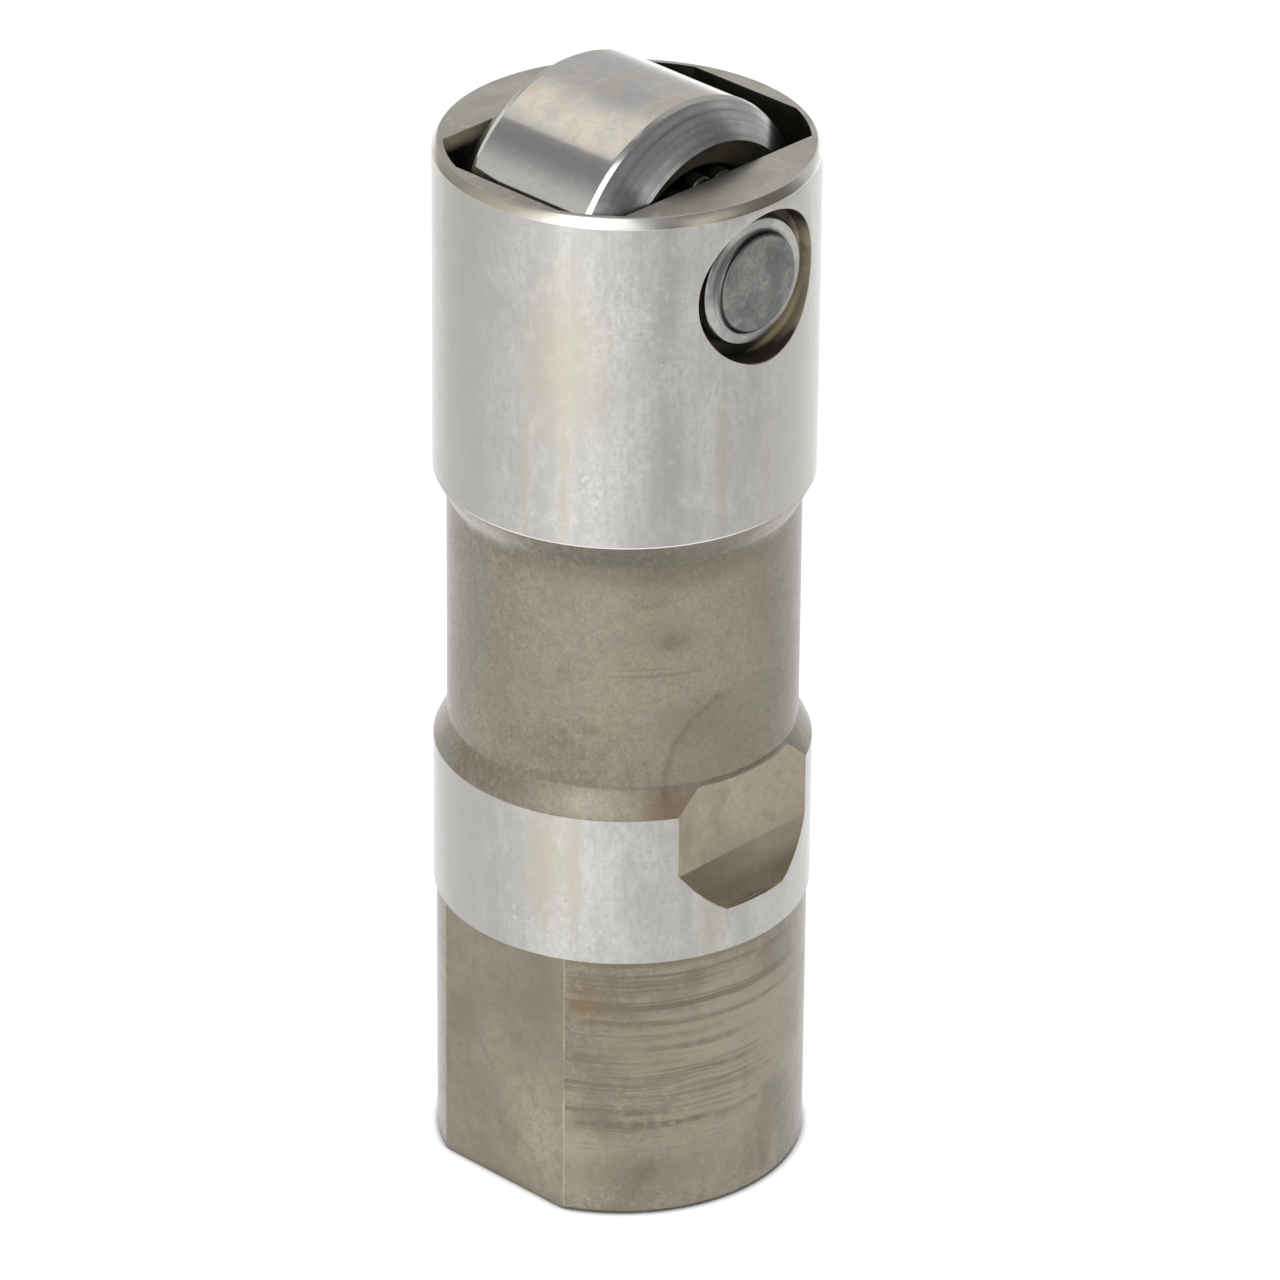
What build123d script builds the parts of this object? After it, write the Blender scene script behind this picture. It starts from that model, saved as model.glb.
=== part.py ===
from build123d import *
import os
from math import asin, cos, pi, radians, sin, sqrt

# Hydraulic roller valve lifter, standing on its open pushrod end with the cam roller on top.
# Millimetres. +Z runs up the body's axis, from the resting end towards the roller.
# The roller's axle lies along Y and the two guide flats face +X and -X.
# The origin is the centre of the resting end face.

# Outside of the body, as lengths from the resting end upwards
body_radius = 10.695
lower_length = 16.48
band_length = 9.16
band_cone_length = 1.61
neck_length = 13.91
head_cone_length = 1.50
head_length = 19.745
neck_relief = 0.775
lower_relief = 0.16
foot_chamfer = 0.20
rim_width = 0.285
rim_height = 0.55

# Guide flats on the lower end, and the milled notch in the band
flat_depth = 1.275
notch_depth = 1.315
notch_top_drop = 0.30
notch_flat_length = 5.05
notch_slope_length = 2.80
notch_ledge = 0.25

# Slot in the head that the roller turns in, as walls left in the body
slot_cheek_wall = 3.775
slot_end_wall = 1.415
slot_corner_wall = 0.645

# Cam roller, as gaps inside the slot and drops from its tread
wheel_side_gap = 0.52
wheel_end_gap = 0.39
wheel_floor_gap = 0.71
wheel_proud = 3.48
tread_edge_width = 0.32
tread_edge_drop = 0.12
bevel_width = 1.87
bevel_drop = 1.94
hub_recess_depth = 1.05
race_chamfer = 0.15

# Axle, staked at both ends in the cross hole
pin_radius = 3.65
pin_recess = 0.60
pin_fit = 0.01
stake_core_radius = 2.82
stake_core_rise = 0.45
stake_core_round = 0.10
stake_hollow_radius = 0.28
stake_bead_radius = 3.72
stake_bead_length = 0.32
stake_bead_round = 0.14
pocket_radius = 4.40
pocket_depth = 1.80
pocket_flare = 0.06
pocket_flare_depth = 0.12

# Needle rollers between the axle and the roller
needle_radius = 0.80
needle_running_gap = 0.02
needle_side_gap = 0.04
needle_inset = 0.10
needle_end_chamfer = 0.18
needle_first_angle = 95.9

# Main bore, up from the resting end
bore_neck_wall = 1.92
mouth_chamfer = 0.50
web_thickness = 3.20
bore_relief_depth = 0.25
bore_relief_length = 3.00
feed_hole_radius = 1.00
feed_hole_rise = 1.65

# Wire ring that keeps the hydraulic set in
ring_wire_radius = 0.60
ring_height = 1.90
ring_groove_depth = 0.50
ring_groove_clearance = 0.02
ring_opening_angle = 46.0

# Pushrod seat
seat_length = 6.40
seat_clearance = 0.05
seat_edge_chamfer = 0.25
ring_play = 0.02
socket_radius = 4.00
socket_depth = 3.40
socket_lead_width = 0.45
socket_lead_depth = 0.35
socket_oil_radius = 0.80
seat_pocket_wall = 1.85
seat_pocket_depth = 0.90

# Metering disc
disc_thickness = 0.50
disc_clearance = 0.15
disc_hole_radius = 0.40
disc_hole_distance = 3.00

# Plunger
plunger_travel = 3.80
plunger_clearance = 0.02
plunger_end_chamfer = 0.35
reservoir_wall = 2.78
reservoir_mouth_chamfer = 0.40
valve_wall = 3.20
oil_groove_depth = 0.60
oil_groove_margin = 0.30
plunger_hole_radius = 1.00
port_radius = 1.25
port_chamfer = 0.50
chamber_spare = 0.50

# Check valve
ball_radius = 1.984
ball_seat_clearance = 0.01
ball_travel = 0.35
cage_wall = 0.35
cage_ball_gap = 0.45
cage_spring_room = 0.65
cage_window_radius = 0.70
cage_window_count = 3
cage_flange_clearance = 0.70
check_wire_radius = 0.14
check_coil_radius = 1.15
check_turns = 2.0

# Return spring
spring_wire_radius = 0.50
spring_coil_clearance = 0.80
spring_turns = 3.0
spring_gap = 0.02

# Heights that follow from the lengths above
band_bottom = lower_length
band_top = band_bottom + band_length
neck_bottom = band_top + band_cone_length
neck_top = neck_bottom + neck_length
head_bottom = neck_top + head_cone_length
body_height = head_bottom + head_length

# Radii and distances from the axis that follow from the ground outside
lower_radius = body_radius - lower_relief
neck_radius = body_radius - neck_relief
bore_radius = neck_radius - bore_neck_wall
flat_distance = body_radius - flat_depth
notch_distance = body_radius - notch_depth

# The slot, and the roller in it
slot_half_width = body_radius - slot_cheek_wall
slot_half_length = body_radius - slot_end_wall
slot_corner_radius = body_radius - slot_corner_wall
wheel_radius = slot_half_length - wheel_end_gap
wheel_axis = body_height + wheel_proud - wheel_radius
slot_floor = wheel_axis - wheel_radius - wheel_floor_gap
hub_half_width = slot_half_width - wheel_side_gap
hub_radius = wheel_radius - bevel_drop
tread_half_width = hub_half_width - bevel_width - tread_edge_width

# The axle in its cross hole
pin_half_length = body_radius - pin_recess
pocket_floor = body_radius - pocket_depth

# The needle ring: as many rollers as fit round the axle
needle_pitch_radius = pin_radius + needle_running_gap + needle_radius
race_radius = pin_radius + 2 * needle_running_gap + 2 * needle_radius
needle_half_length = hub_half_width - needle_inset
needle_share = 2 * asin((needle_radius + needle_side_gap / 2) / needle_pitch_radius)
needle_count = int(2 * pi / needle_share)

# The hydraulic set, from the ring at the mouth up to the end of the bore
bore_end = slot_floor - web_thickness
seat_face = ring_height + ring_wire_radius + ring_play
seat_end = seat_face + seat_length
seat_radius = bore_radius - seat_clearance
seat_pocket_radius = seat_radius - seat_pocket_wall
plunger_radius = bore_radius - plunger_clearance
reservoir_radius = plunger_radius - reservoir_wall
contact_radius = (ball_radius + ball_seat_clearance) * cos(pi / 4)
contact_height = contact_radius - port_radius - port_chamfer
ball_rise = contact_height + contact_radius
cage_inner_height = ball_rise + ball_radius + ball_travel + cage_spring_room
cage_height = cage_inner_height + cage_wall
plunger_end = bore_end - cage_height - plunger_travel - chamber_spare
ball_center = plunger_end + ball_rise
cage_top = plunger_end + cage_height
cage_flange_radius = bore_radius - cage_flange_clearance
cage_inner_radius = ball_radius + cage_ball_gap
feed_hole_height = neck_bottom + feed_hole_rise
oil_groove_top = feed_hole_height + feed_hole_radius + oil_groove_margin
oil_groove_bottom = feed_hole_height - feed_hole_radius - plunger_travel - oil_groove_margin


def turned(points):
    """A solid turned about Z from (radius, height) points."""
    with BuildPart() as piece:
        with BuildSketch(Plane.XZ):
            with BuildLine():
                Polyline(*points, close=True)
            make_face()
        revolve(axis=Axis.Z)
    return piece.part


def along_axle(piece):
    """Lays a piece modelled about Z along the roller's axle, which runs along Y."""
    return Pos(0, 0, wheel_axis) * Rot(90, 0, 0) * piece


def coil(wire_radius, coil_radius, bottom, top, turns):
    """An open coil of round wire between two heights."""
    height = top - bottom
    path = Helix(pitch=height / turns, height=height, radius=coil_radius, center=(0, 0, bottom))
    section = Plane(origin=path @ 0, z_dir=path % 0) * Circle(wire_radius)
    return sweep(section, path=path, is_frenet=True)


def body_outside():
    """The turned and ground outside, with its chamfers, neck and band."""
    return turned([
        (0, 0),
        (lower_radius - foot_chamfer, 0),
        (lower_radius, foot_chamfer),
        (lower_radius, band_bottom),
        (body_radius, band_bottom),
        (body_radius, band_top),
        (neck_radius, neck_bottom),
        (neck_radius, neck_top),
        (body_radius, head_bottom),
        (body_radius, body_height - rim_height),
        (body_radius - rim_width, body_height),
        (0, body_height),
    ])


def main_bore():
    """The bore that the hydraulic set slides in, with its mouth, ring groove and end relief."""
    groove_half = ring_wire_radius + ring_groove_clearance
    groove_radius = bore_radius + ring_groove_depth + ring_groove_clearance
    relief_radius = bore_radius + bore_relief_depth
    relief_bottom = bore_end - bore_relief_length
    return turned([
        (0, 0),
        (bore_radius + mouth_chamfer, 0),
        (bore_radius, mouth_chamfer),
        (bore_radius, ring_height - groove_half),
        (groove_radius, ring_height - groove_half),
        (groove_radius, ring_height + groove_half),
        (bore_radius, ring_height + groove_half),
        (bore_radius, relief_bottom - bore_relief_depth),
        (relief_radius, relief_bottom),
        (relief_radius, bore_end),
        (0, bore_end),
    ])


def roller_slot():
    """The pocket in the head that the roller turns in, with its corners bored round."""
    depth = body_height - slot_floor
    pocket = Box(2 * slot_half_length, 2 * slot_half_width, depth)
    rounding = Cylinder(slot_corner_radius, depth)
    return Pos(0, 0, slot_floor + depth / 2) * (pocket & rounding)


def cross_hole():
    """The axle's hole through both cheeks, with an open-edged pocket at each staked end."""
    hole_radius = pin_radius + pin_fit
    half = [
        (hole_radius, 0),
        (hole_radius, pocket_floor),
        (pocket_radius, pocket_floor),
        (pocket_radius, body_radius - pocket_flare_depth),
        (pocket_radius + pocket_flare, body_radius),
    ]
    other_half = [(radius, -height) for radius, height in reversed(half[1:])]
    return along_axle(turned([(0, -body_radius)] + other_half + half + [(0, body_radius)]))


def band_notch():
    """The flat milled into the band on the -Y side, which runs out in a slope."""
    top = neck_bottom - notch_top_drop
    slope_top = top - notch_flat_length
    slope_foot = slope_top - notch_slope_length
    outside = body_radius + notch_ledge
    with BuildPart() as cutter:
        with BuildSketch(Plane.YZ):
            with BuildLine():
                Polyline(
                    (-notch_distance, slope_top),
                    (-notch_distance, top),
                    (-outside, top),
                    (-outside, slope_foot),
                    (notch_ledge - body_radius, slope_foot),
                    close=True,
                )
            make_face()
        extrude(amount=body_radius, both=True)
    return cutter.part


def guide_flats():
    """The two slabs milled off the lower end."""
    depth = body_radius - flat_distance
    slab = Box(2 * depth, 2 * body_radius, lower_length)
    height = lower_length / 2
    return [Pos(side * (flat_distance + depth), 0, height) * slab for side in (-1, 1)]


def feed_hole():
    """The oil feed hole through the neck, on the side away from the notch."""
    drill = Cylinder(feed_hole_radius, neck_radius, align=(Align.CENTER, Align.CENTER, Align.MIN))
    return Pos(0, 0, feed_hole_height) * Rot(-90, 0, 0) * drill


def lifter_body():
    """The one-piece body."""
    body = body_outside() - main_bore() - roller_slot() - cross_hole() - band_notch() - feed_hole()
    for slab in guide_flats():
        body -= slab
    return body


def roller_wheel():
    """The cam roller: ground tread, eased edges, bevelled sides and recessed hub faces."""
    recess_floor = hub_half_width - hub_recess_depth
    edge_end = tread_half_width + tread_edge_width
    half = [
        (race_radius, recess_floor - race_chamfer),
        (race_radius + race_chamfer, recess_floor),
        (hub_radius - hub_recess_depth / 4, recess_floor),
        (hub_radius, hub_half_width),
        (wheel_radius - tread_edge_drop, edge_end),
        (wheel_radius, tread_half_width),
    ]
    other_half = [(radius, -height) for radius, height in reversed(half)]
    return along_axle(turned(half + other_half))


def axle_pin():
    """The axle, with a proud core in a hollowed, rounded bead at each end where it is staked."""
    bead_top = pin_half_length - stake_core_rise
    bead_bottom = bead_top - stake_bead_length
    hollow = [
        (
            stake_core_radius + stake_hollow_radius * (1 - cos(radians(angle))),
            bead_top + stake_hollow_radius * (1 - sin(radians(angle))),
        )
        for angle in (90, 67.5, 45, 22.5, 0)
    ]
    half = [
        (pin_radius, bead_bottom - (stake_bead_radius - pin_radius)),
        (stake_bead_radius, bead_bottom),
        (stake_bead_radius, bead_top - stake_bead_round),
        (stake_bead_radius - stake_bead_round, bead_top),
        *hollow,
        (stake_core_radius, pin_half_length - stake_core_round),
        (stake_core_radius - stake_core_round, pin_half_length),
        (0, pin_half_length),
    ]
    other_half = [(radius, -height) for radius, height in reversed(half)]
    return along_axle(turned(half + other_half))


def needle(angle):
    """One needle roller, at its place in the ring; the angle runs from +X towards +Z."""
    roller = Cylinder(needle_radius, 2 * needle_half_length)
    roller = chamfer(roller.edges(), needle_end_chamfer)
    x = needle_pitch_radius * cos(angle)
    z = wheel_axis + needle_pitch_radius * sin(angle)
    return Pos(x, 0, z) * Rot(90, 0, 0) * roller


def plunger():
    """The hollow piston, with its oil groove and the check valve's port."""
    groove_radius = plunger_radius - oil_groove_depth
    reservoir_end = plunger_end - valve_wall
    body = turned([
        (reservoir_radius + reservoir_mouth_chamfer, seat_end),
        (plunger_radius - plunger_end_chamfer, seat_end),
        (plunger_radius, seat_end + plunger_end_chamfer),
        (plunger_radius, oil_groove_bottom),
        (groove_radius, oil_groove_bottom + oil_groove_depth),
        (groove_radius, oil_groove_top - oil_groove_depth),
        (plunger_radius, oil_groove_top),
        (plunger_radius, plunger_end - plunger_end_chamfer),
        (plunger_radius - plunger_end_chamfer, plunger_end),
        (port_radius + port_chamfer, plunger_end),
        (port_radius, plunger_end - port_chamfer),
        (port_radius, reservoir_end),
        (reservoir_radius, reservoir_end),
        (reservoir_radius, seat_end + reservoir_mouth_chamfer),
    ])
    drill = Cylinder(plunger_hole_radius, plunger_radius, align=(Align.CENTER, Align.CENTER, Align.MIN))
    hole_height = (oil_groove_bottom + oil_groove_top) / 2
    return body - Pos(0, 0, hole_height) * Rot(-90, 0, 0) * drill


def pushrod_seat():
    """The cup that the pushrod's ball end sits in."""
    socket_center = seat_face + socket_depth - socket_radius
    rim_radius = sqrt(socket_radius**2 - (seat_face - socket_center) ** 2)
    pocket_floor_height = seat_end - seat_pocket_depth
    cup = turned([
        (0, seat_face),
        (seat_radius - seat_edge_chamfer, seat_face),
        (seat_radius, seat_face + seat_edge_chamfer),
        (seat_radius, seat_end),
        (seat_pocket_radius, seat_end),
        (seat_pocket_radius, pocket_floor_height),
        (0, pocket_floor_height),
    ])
    lead = turned([
        (0, seat_face),
        (rim_radius + socket_lead_width, seat_face),
        (rim_radius - socket_lead_width, seat_face + 2 * socket_lead_depth),
        (0, seat_face + 2 * socket_lead_depth),
    ])
    oil_hole = Pos(0, 0, (seat_face + seat_end) / 2) * Cylinder(socket_oil_radius, seat_length)
    return cup - Pos(0, 0, socket_center) * Sphere(socket_radius) - lead - oil_hole


def metering_disc():
    """The thin plate that lies in the seat's pocket."""
    bottom = seat_end - seat_pocket_depth
    bottom_up = (Align.CENTER, Align.CENTER, Align.MIN)
    plate = Cylinder(seat_pocket_radius - disc_clearance, disc_thickness, align=bottom_up)
    hole = Cylinder(disc_hole_radius, disc_thickness, align=bottom_up)
    return Pos(0, 0, bottom) * (plate - Pos(disc_hole_distance, 0, 0) * hole)


def check_ball():
    """The valve ball on the plunger's port."""
    return Pos(0, 0, ball_center) * Sphere(ball_radius)


def ball_cage():
    """The pressed cap over the ball, with its flange on the plunger's end and windows for oil."""
    outer_radius = cage_inner_radius + cage_wall
    cap = turned([
        (0, cage_top - cage_wall),
        (cage_inner_radius, cage_top - cage_wall),
        (cage_inner_radius, plunger_end),
        (cage_flange_radius, plunger_end),
        (cage_flange_radius, plunger_end + cage_wall),
        (outer_radius, plunger_end + cage_wall),
        (outer_radius, cage_top - cage_wall),
        (outer_radius - cage_wall, cage_top),
        (0, cage_top),
    ])
    window_height = (plunger_end + cage_wall + cage_top) / 2
    window = Cylinder(cage_window_radius, 2 * outer_radius, align=(Align.CENTER, Align.CENTER, Align.MIN))
    for index in range(cage_window_count):
        turn = index * 360 / cage_window_count
        cap -= Pos(0, 0, window_height) * Rot(0, 0, turn) * Rot(0, 90, 0) * window
    return cap


def check_ball_spring():
    """The small coil between the ball and the top of its cage."""
    reach = ball_radius + check_wire_radius
    bottom = ball_center + sqrt(reach**2 - check_coil_radius**2) + spring_gap
    top = cage_top - cage_wall - check_wire_radius - spring_gap
    return coil(check_wire_radius, check_coil_radius, bottom, top, check_turns)


def plunger_spring():
    """The return spring between the cage's flange and the end of the bore, its ends ground flat."""
    coil_radius = bore_radius - spring_coil_clearance - spring_wire_radius
    bottom = plunger_end + cage_wall + spring_gap
    top = bore_end - spring_gap
    wire = coil(spring_wire_radius, coil_radius, bottom, top, spring_turns)
    between_faces = Cylinder(bore_radius, top - bottom, align=(Align.CENTER, Align.CENTER, Align.MIN))
    return wire & (Pos(0, 0, bottom) * between_faces)


def retaining_ring():
    """The open wire ring in its groove at the mouth of the bore."""
    centre_radius = bore_radius + ring_groove_depth - ring_wire_radius
    with BuildPart() as ring:
        with BuildSketch(Plane.XZ):
            with Locations((centre_radius, ring_height)):
                Circle(ring_wire_radius)
        revolve(axis=Axis.Z, revolution_arc=360 - ring_opening_angle)
    return Rot(0, 0, ring_opening_angle / 2) * ring.part


os.makedirs("parts", exist_ok=True)

pieces = {
    "lifter_body": lifter_body(),
    "roller_wheel": roller_wheel(),
    "axle_pin": axle_pin(),
    "plunger": plunger(),
    "pushrod_seat": pushrod_seat(),
    "metering_disc": metering_disc(),
    "check_ball": check_ball(),
    "check_ball_spring": check_ball_spring(),
    "ball_cage": ball_cage(),
    "plunger_spring": plunger_spring(),
    "retaining_ring": retaining_ring(),
}
for index in range(needle_count):
    place = needle_first_angle + 360 * index / needle_count
    pieces[f"needle_{index + 1:02d}"] = needle(radians(place))

for name, piece in pieces.items():
    export_step(piece, f"parts/{name}.step")

print("roller axis", round(wheel_axis, 3), "bore end", round(bore_end, 3))
print("plunger end", round(plunger_end, 3), "ball cage top", round(cage_top, 3))
print("needles", needle_count, "orbit ratio", round(race_radius / (race_radius + pin_radius), 6))
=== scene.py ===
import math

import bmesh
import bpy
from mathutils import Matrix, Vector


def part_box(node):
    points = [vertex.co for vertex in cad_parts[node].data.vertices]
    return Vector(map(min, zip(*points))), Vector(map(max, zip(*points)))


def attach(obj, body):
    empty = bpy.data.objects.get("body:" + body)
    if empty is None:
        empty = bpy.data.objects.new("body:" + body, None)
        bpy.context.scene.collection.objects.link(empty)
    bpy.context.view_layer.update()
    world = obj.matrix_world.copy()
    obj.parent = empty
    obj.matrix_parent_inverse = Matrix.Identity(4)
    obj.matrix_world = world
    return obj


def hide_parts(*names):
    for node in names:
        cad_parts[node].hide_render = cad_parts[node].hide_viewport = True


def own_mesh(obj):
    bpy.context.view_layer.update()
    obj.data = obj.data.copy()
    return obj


bl_info = {
    "name": "Roller Valve Lifter",
    "version": (1, 0, 0),
    "blender": (4, 5, 0),
    "location": "View3D > Sidebar > Lifter",
    "description": "Models and finishes a hydraulic roller valve lifter around its construction model",
    "category": "Mesh",
}

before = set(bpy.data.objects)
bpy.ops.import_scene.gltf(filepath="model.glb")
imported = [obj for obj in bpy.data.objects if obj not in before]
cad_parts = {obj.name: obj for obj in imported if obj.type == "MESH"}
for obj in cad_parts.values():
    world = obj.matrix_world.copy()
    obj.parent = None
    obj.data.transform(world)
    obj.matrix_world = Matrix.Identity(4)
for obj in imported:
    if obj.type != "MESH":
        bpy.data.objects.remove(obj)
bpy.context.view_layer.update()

# Lengths in this file are metres; MM turns the real millimetre sizes into them.
MM = 0.001

# How finely round things are divided.
SEGMENTS = 256
NEEDLE_SEGMENTS = 48
DRILL_SEGMENTS = 32
WIRE_SEGMENTS = 24
SOCKET_STEPS = 24
HOLLOW_STEPS = 5

# Points closer than this are merged: as a rule, after the body's cuts, and after its edges are bevelled.
JOIN_DISTANCE = 0.012 * MM
CUT_JOIN_DISTANCE = 0.05 * MM
BEVEL_JOIN_DISTANCE = 0.002 * MM
# Edges sharper than this are shaded as edges, worn on the body, and rounded at the retaining ring's ends.
SMOOTH_ANGLE = math.radians(32)
BEVEL_ANGLE = math.radians(22)
RING_END_ANGLE = math.radians(60)
BROAD_FACE_WEIGHT = 60
# How far the profiles' corners are rounded off.
ROLLER_EASE = 0.05 * MM
AXLE_EASE = 0.03 * MM
NEEDLE_EASE = 0.10 * MM
# The slack with which a turned piece's faces are told apart by their radius.
HAIR = 0.02 * MM

FILM_ROUGHNESS = 0.15
ANISOTROPIC_TURN = 0.25
FLOOR_SIZE = 0.5
FLOOR_GAP = 0.01 * MM
FLOOR_GREY = (0.25, 0.25, 0.25, 1)
WHITE = (1, 1, 1, 1)
# How far the contact shadow reaches, and how it turns the open share of the sky into the floor's brightness.
CONTACT_REACH = 0.9 * MM
CONTACT_SHADE = (0.30, 0.80, 0.03, 0.95)

# Bearing of the photograph's camera, in degrees from +X towards +Y; bearings on the body count from it.
FRONT = -135.95

# The photograph's camera: azimuth, elevation and roll in degrees, then its place and lens.
CAMERA_TURN = (-45.95, 28.068, 0.5014)
CAMERA_TARGET = (0.9331 * MM, 31.348 * MM)
CAMERA_DISTANCE = 489.745 * MM
CAMERA_LENS = 245.16
CAMERA_SENSOR = 36

# The light round the room, up to about 30 degrees over the horizon: brightness against the bearing from the
# camera, in degrees, positive to its right.
RING = (
    (-180, 1.00), (-150, 0.80), (-128, 0.12), (-98, 0.64), (-72, 0.82), (-52, 1.36), (-40, 2.10), (-28, 2.80),
    (-18, 2.00), (-8, 1.15), (5, 1.05), (14, 0.55), (22, 0.02), (29, 0.20), (40, 0.96), (56, 0.90), (76, 0.24),
    (100, 0.18), (118, 0.24), (136, 1.10), (160, 1.05), (180, 1.00),
)
RING_PEAK = 3.0
# What is over the ring, and the cards in front of it: (bearing, elevation), half size and softness in degrees,
# then the colour that the card shows.
ROOM = (0.32, 0.32, 0.33)
ROOM_STARTS, ROOM_REACHED = 26.0, 42.0
CARDS = (
    ((180, 36), (62, 38), (14, 8), (0.64, 0.635, 0.63)),
    ((180, -15), (58, 6), (20, 5), (1.50, 1.50, 1.50)),
    ((72, 0), (22, 17), (8, 5), (0.22, 0.20, 0.17)),
    ((-143, 68), (29.5, 22), (1, 6), (0.98, 0.95, 0.89)),
    ((-24, 46), (24, 20), (8, 6), (2.2, 2.2, 2.2)),
)

# Where the construction model's pieces begin and end.
BODY_RADIUS, _, BODY_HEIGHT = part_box("lifter_body")[1]
WHEEL_LOW, WHEEL_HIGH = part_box("roller_wheel")
WHEEL_AXIS = (WHEEL_LOW.z + WHEEL_HIGH.z) / 2
AXLE_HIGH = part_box("axle_pin")[1]
SEAT_LOW, SEAT_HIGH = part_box("pushrod_seat")
SPRING_LOW, SPRING_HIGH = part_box("plunger_spring")
CHECK_SPRING_LOW, CHECK_SPRING_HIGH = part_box("check_ball_spring")
NEEDLE_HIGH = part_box("needle_01")[1]

# The same places in millimetres, for the finishes: the radii of the turned surfaces and the axle's height.
GROUND_MM, NECK_MM, LOWER_MM = 10.695, 9.92, 10.535
AXLE_MM = WHEEL_AXIS / MM


def size(name, value, description):
    """A length that a user may change, in metres."""
    return bpy.props.FloatProperty(
        name=name, description=description, default=value, min=0.0, precision=5, unit="LENGTH"
    )


def colour(name, value, description):
    """A finish colour that a user may change."""
    return bpy.props.FloatVectorProperty(
        name=name, description=description, default=value, min=0.0, max=1.0, size=3, subtype="COLOR"
    )


class LifterBodySizes(bpy.types.PropertyGroup):
    radius: size("Ground radius", BODY_RADIUS, "Radius of the two ground bands")
    height: size("Height", BODY_HEIGHT, "Height from the resting end to the roller end")
    lower_radius: size("Lower radius", BODY_RADIUS - 0.16 * MM, "Radius of the dark lower end")
    neck_radius: size("Neck radius", BODY_RADIUS - 0.775 * MM, "Radius of the dark neck")
    band_bottom: size("Band bottom", 16.48 * MM, "Height where the lower ground band starts")
    band_top: size("Band top", 25.64 * MM, "Height where the lower ground band ends")
    neck_bottom: size("Neck bottom", 27.25 * MM, "Height where the neck starts")
    neck_top: size("Neck top", 41.16 * MM, "Height where the neck ends")
    head_bottom: size("Head bottom", 42.66 * MM, "Height where the ground head starts")
    rim_width: size("Rim chamfer width", 0.285 * MM, "Width of the chamfer round the roller end")
    rim_height: size("Rim chamfer height", 0.55 * MM, "Height of the chamfer round the roller end")
    foot_chamfer: size("Foot chamfer", 0.20 * MM, "Chamfer round the resting end")
    bore_radius: size("Bore radius", 8.00 * MM, "Radius of the main bore")
    bore_end: size("Bore end", 44.20 * MM, "Height where the main bore ends")
    bore_relief: size("Bore relief", 0.25 * MM, "Depth of the relief at the bore's end")
    bore_relief_length: size("Bore relief length", 3.00 * MM, "Length of the relief at the bore's end")
    mouth_chamfer: size("Mouth chamfer", 0.50 * MM, "Chamfer at the bore's mouth")
    ring_height: size("Ring height", 1.90 * MM, "Height of the retaining ring's groove")
    ring_groove_depth: size("Ring groove depth", 0.52 * MM, "Depth of the retaining ring's groove")
    ring_groove_half: size("Ring groove half width", 0.62 * MM, "Half the width of the ring's groove")
    flat_distance: size("Flat distance", 9.42 * MM, "Distance of each guide flat from the axis")
    slot_floor: size("Slot floor", 47.40 * MM, "Height of the roller slot's floor")
    slot_half_width: size("Slot half width", 6.92 * MM, "Half the slot's width along the axle")
    slot_half_length: size("Slot half length", 9.28 * MM, "Half the slot's length across the axle")
    slot_corner_radius: size("Slot corner radius", 10.05 * MM, "Radius of the slot's round corners")
    notch_distance: size("Notch distance", 9.38 * MM, "Distance of the notch's flat from the axis")
    notch_ledge: size("Notch ledge", 0.25 * MM, "Depth of the ledge below the notch's slope")
    notch_foot: size("Notch foot", 19.10 * MM, "Height of the foot of the notch's slope")
    notch_bend: size("Notch bend", 21.90 * MM, "Height where the notch's slope meets its flat")
    notch_top: size("Notch top", 26.95 * MM, "Height of the notch's upper end")
    hole_radius: size("Cross hole radius", 3.66 * MM, "Radius of the axle's cross hole")
    pocket_radius: size("Pocket radius", 4.40 * MM, "Radius of the pocket round each axle end")
    pocket_floor: size("Pocket floor", BODY_RADIUS - 1.80 * MM, "Distance of the pocket's floor from the axis")
    pocket_flare: size("Pocket flare", 0.06 * MM, "How much the pocket opens at the outside")
    pocket_flare_depth: size("Pocket flare depth", 0.12 * MM, "Depth over which the pocket opens")
    feed_radius: size("Feed hole radius", 1.00 * MM, "Radius of the oil feed hole")
    feed_height: size("Feed hole height", 28.90 * MM, "Height of the oil feed hole")
    edge: size("Edge", 0.04 * MM, "Width of the worn bevel on milled edges")


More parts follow.
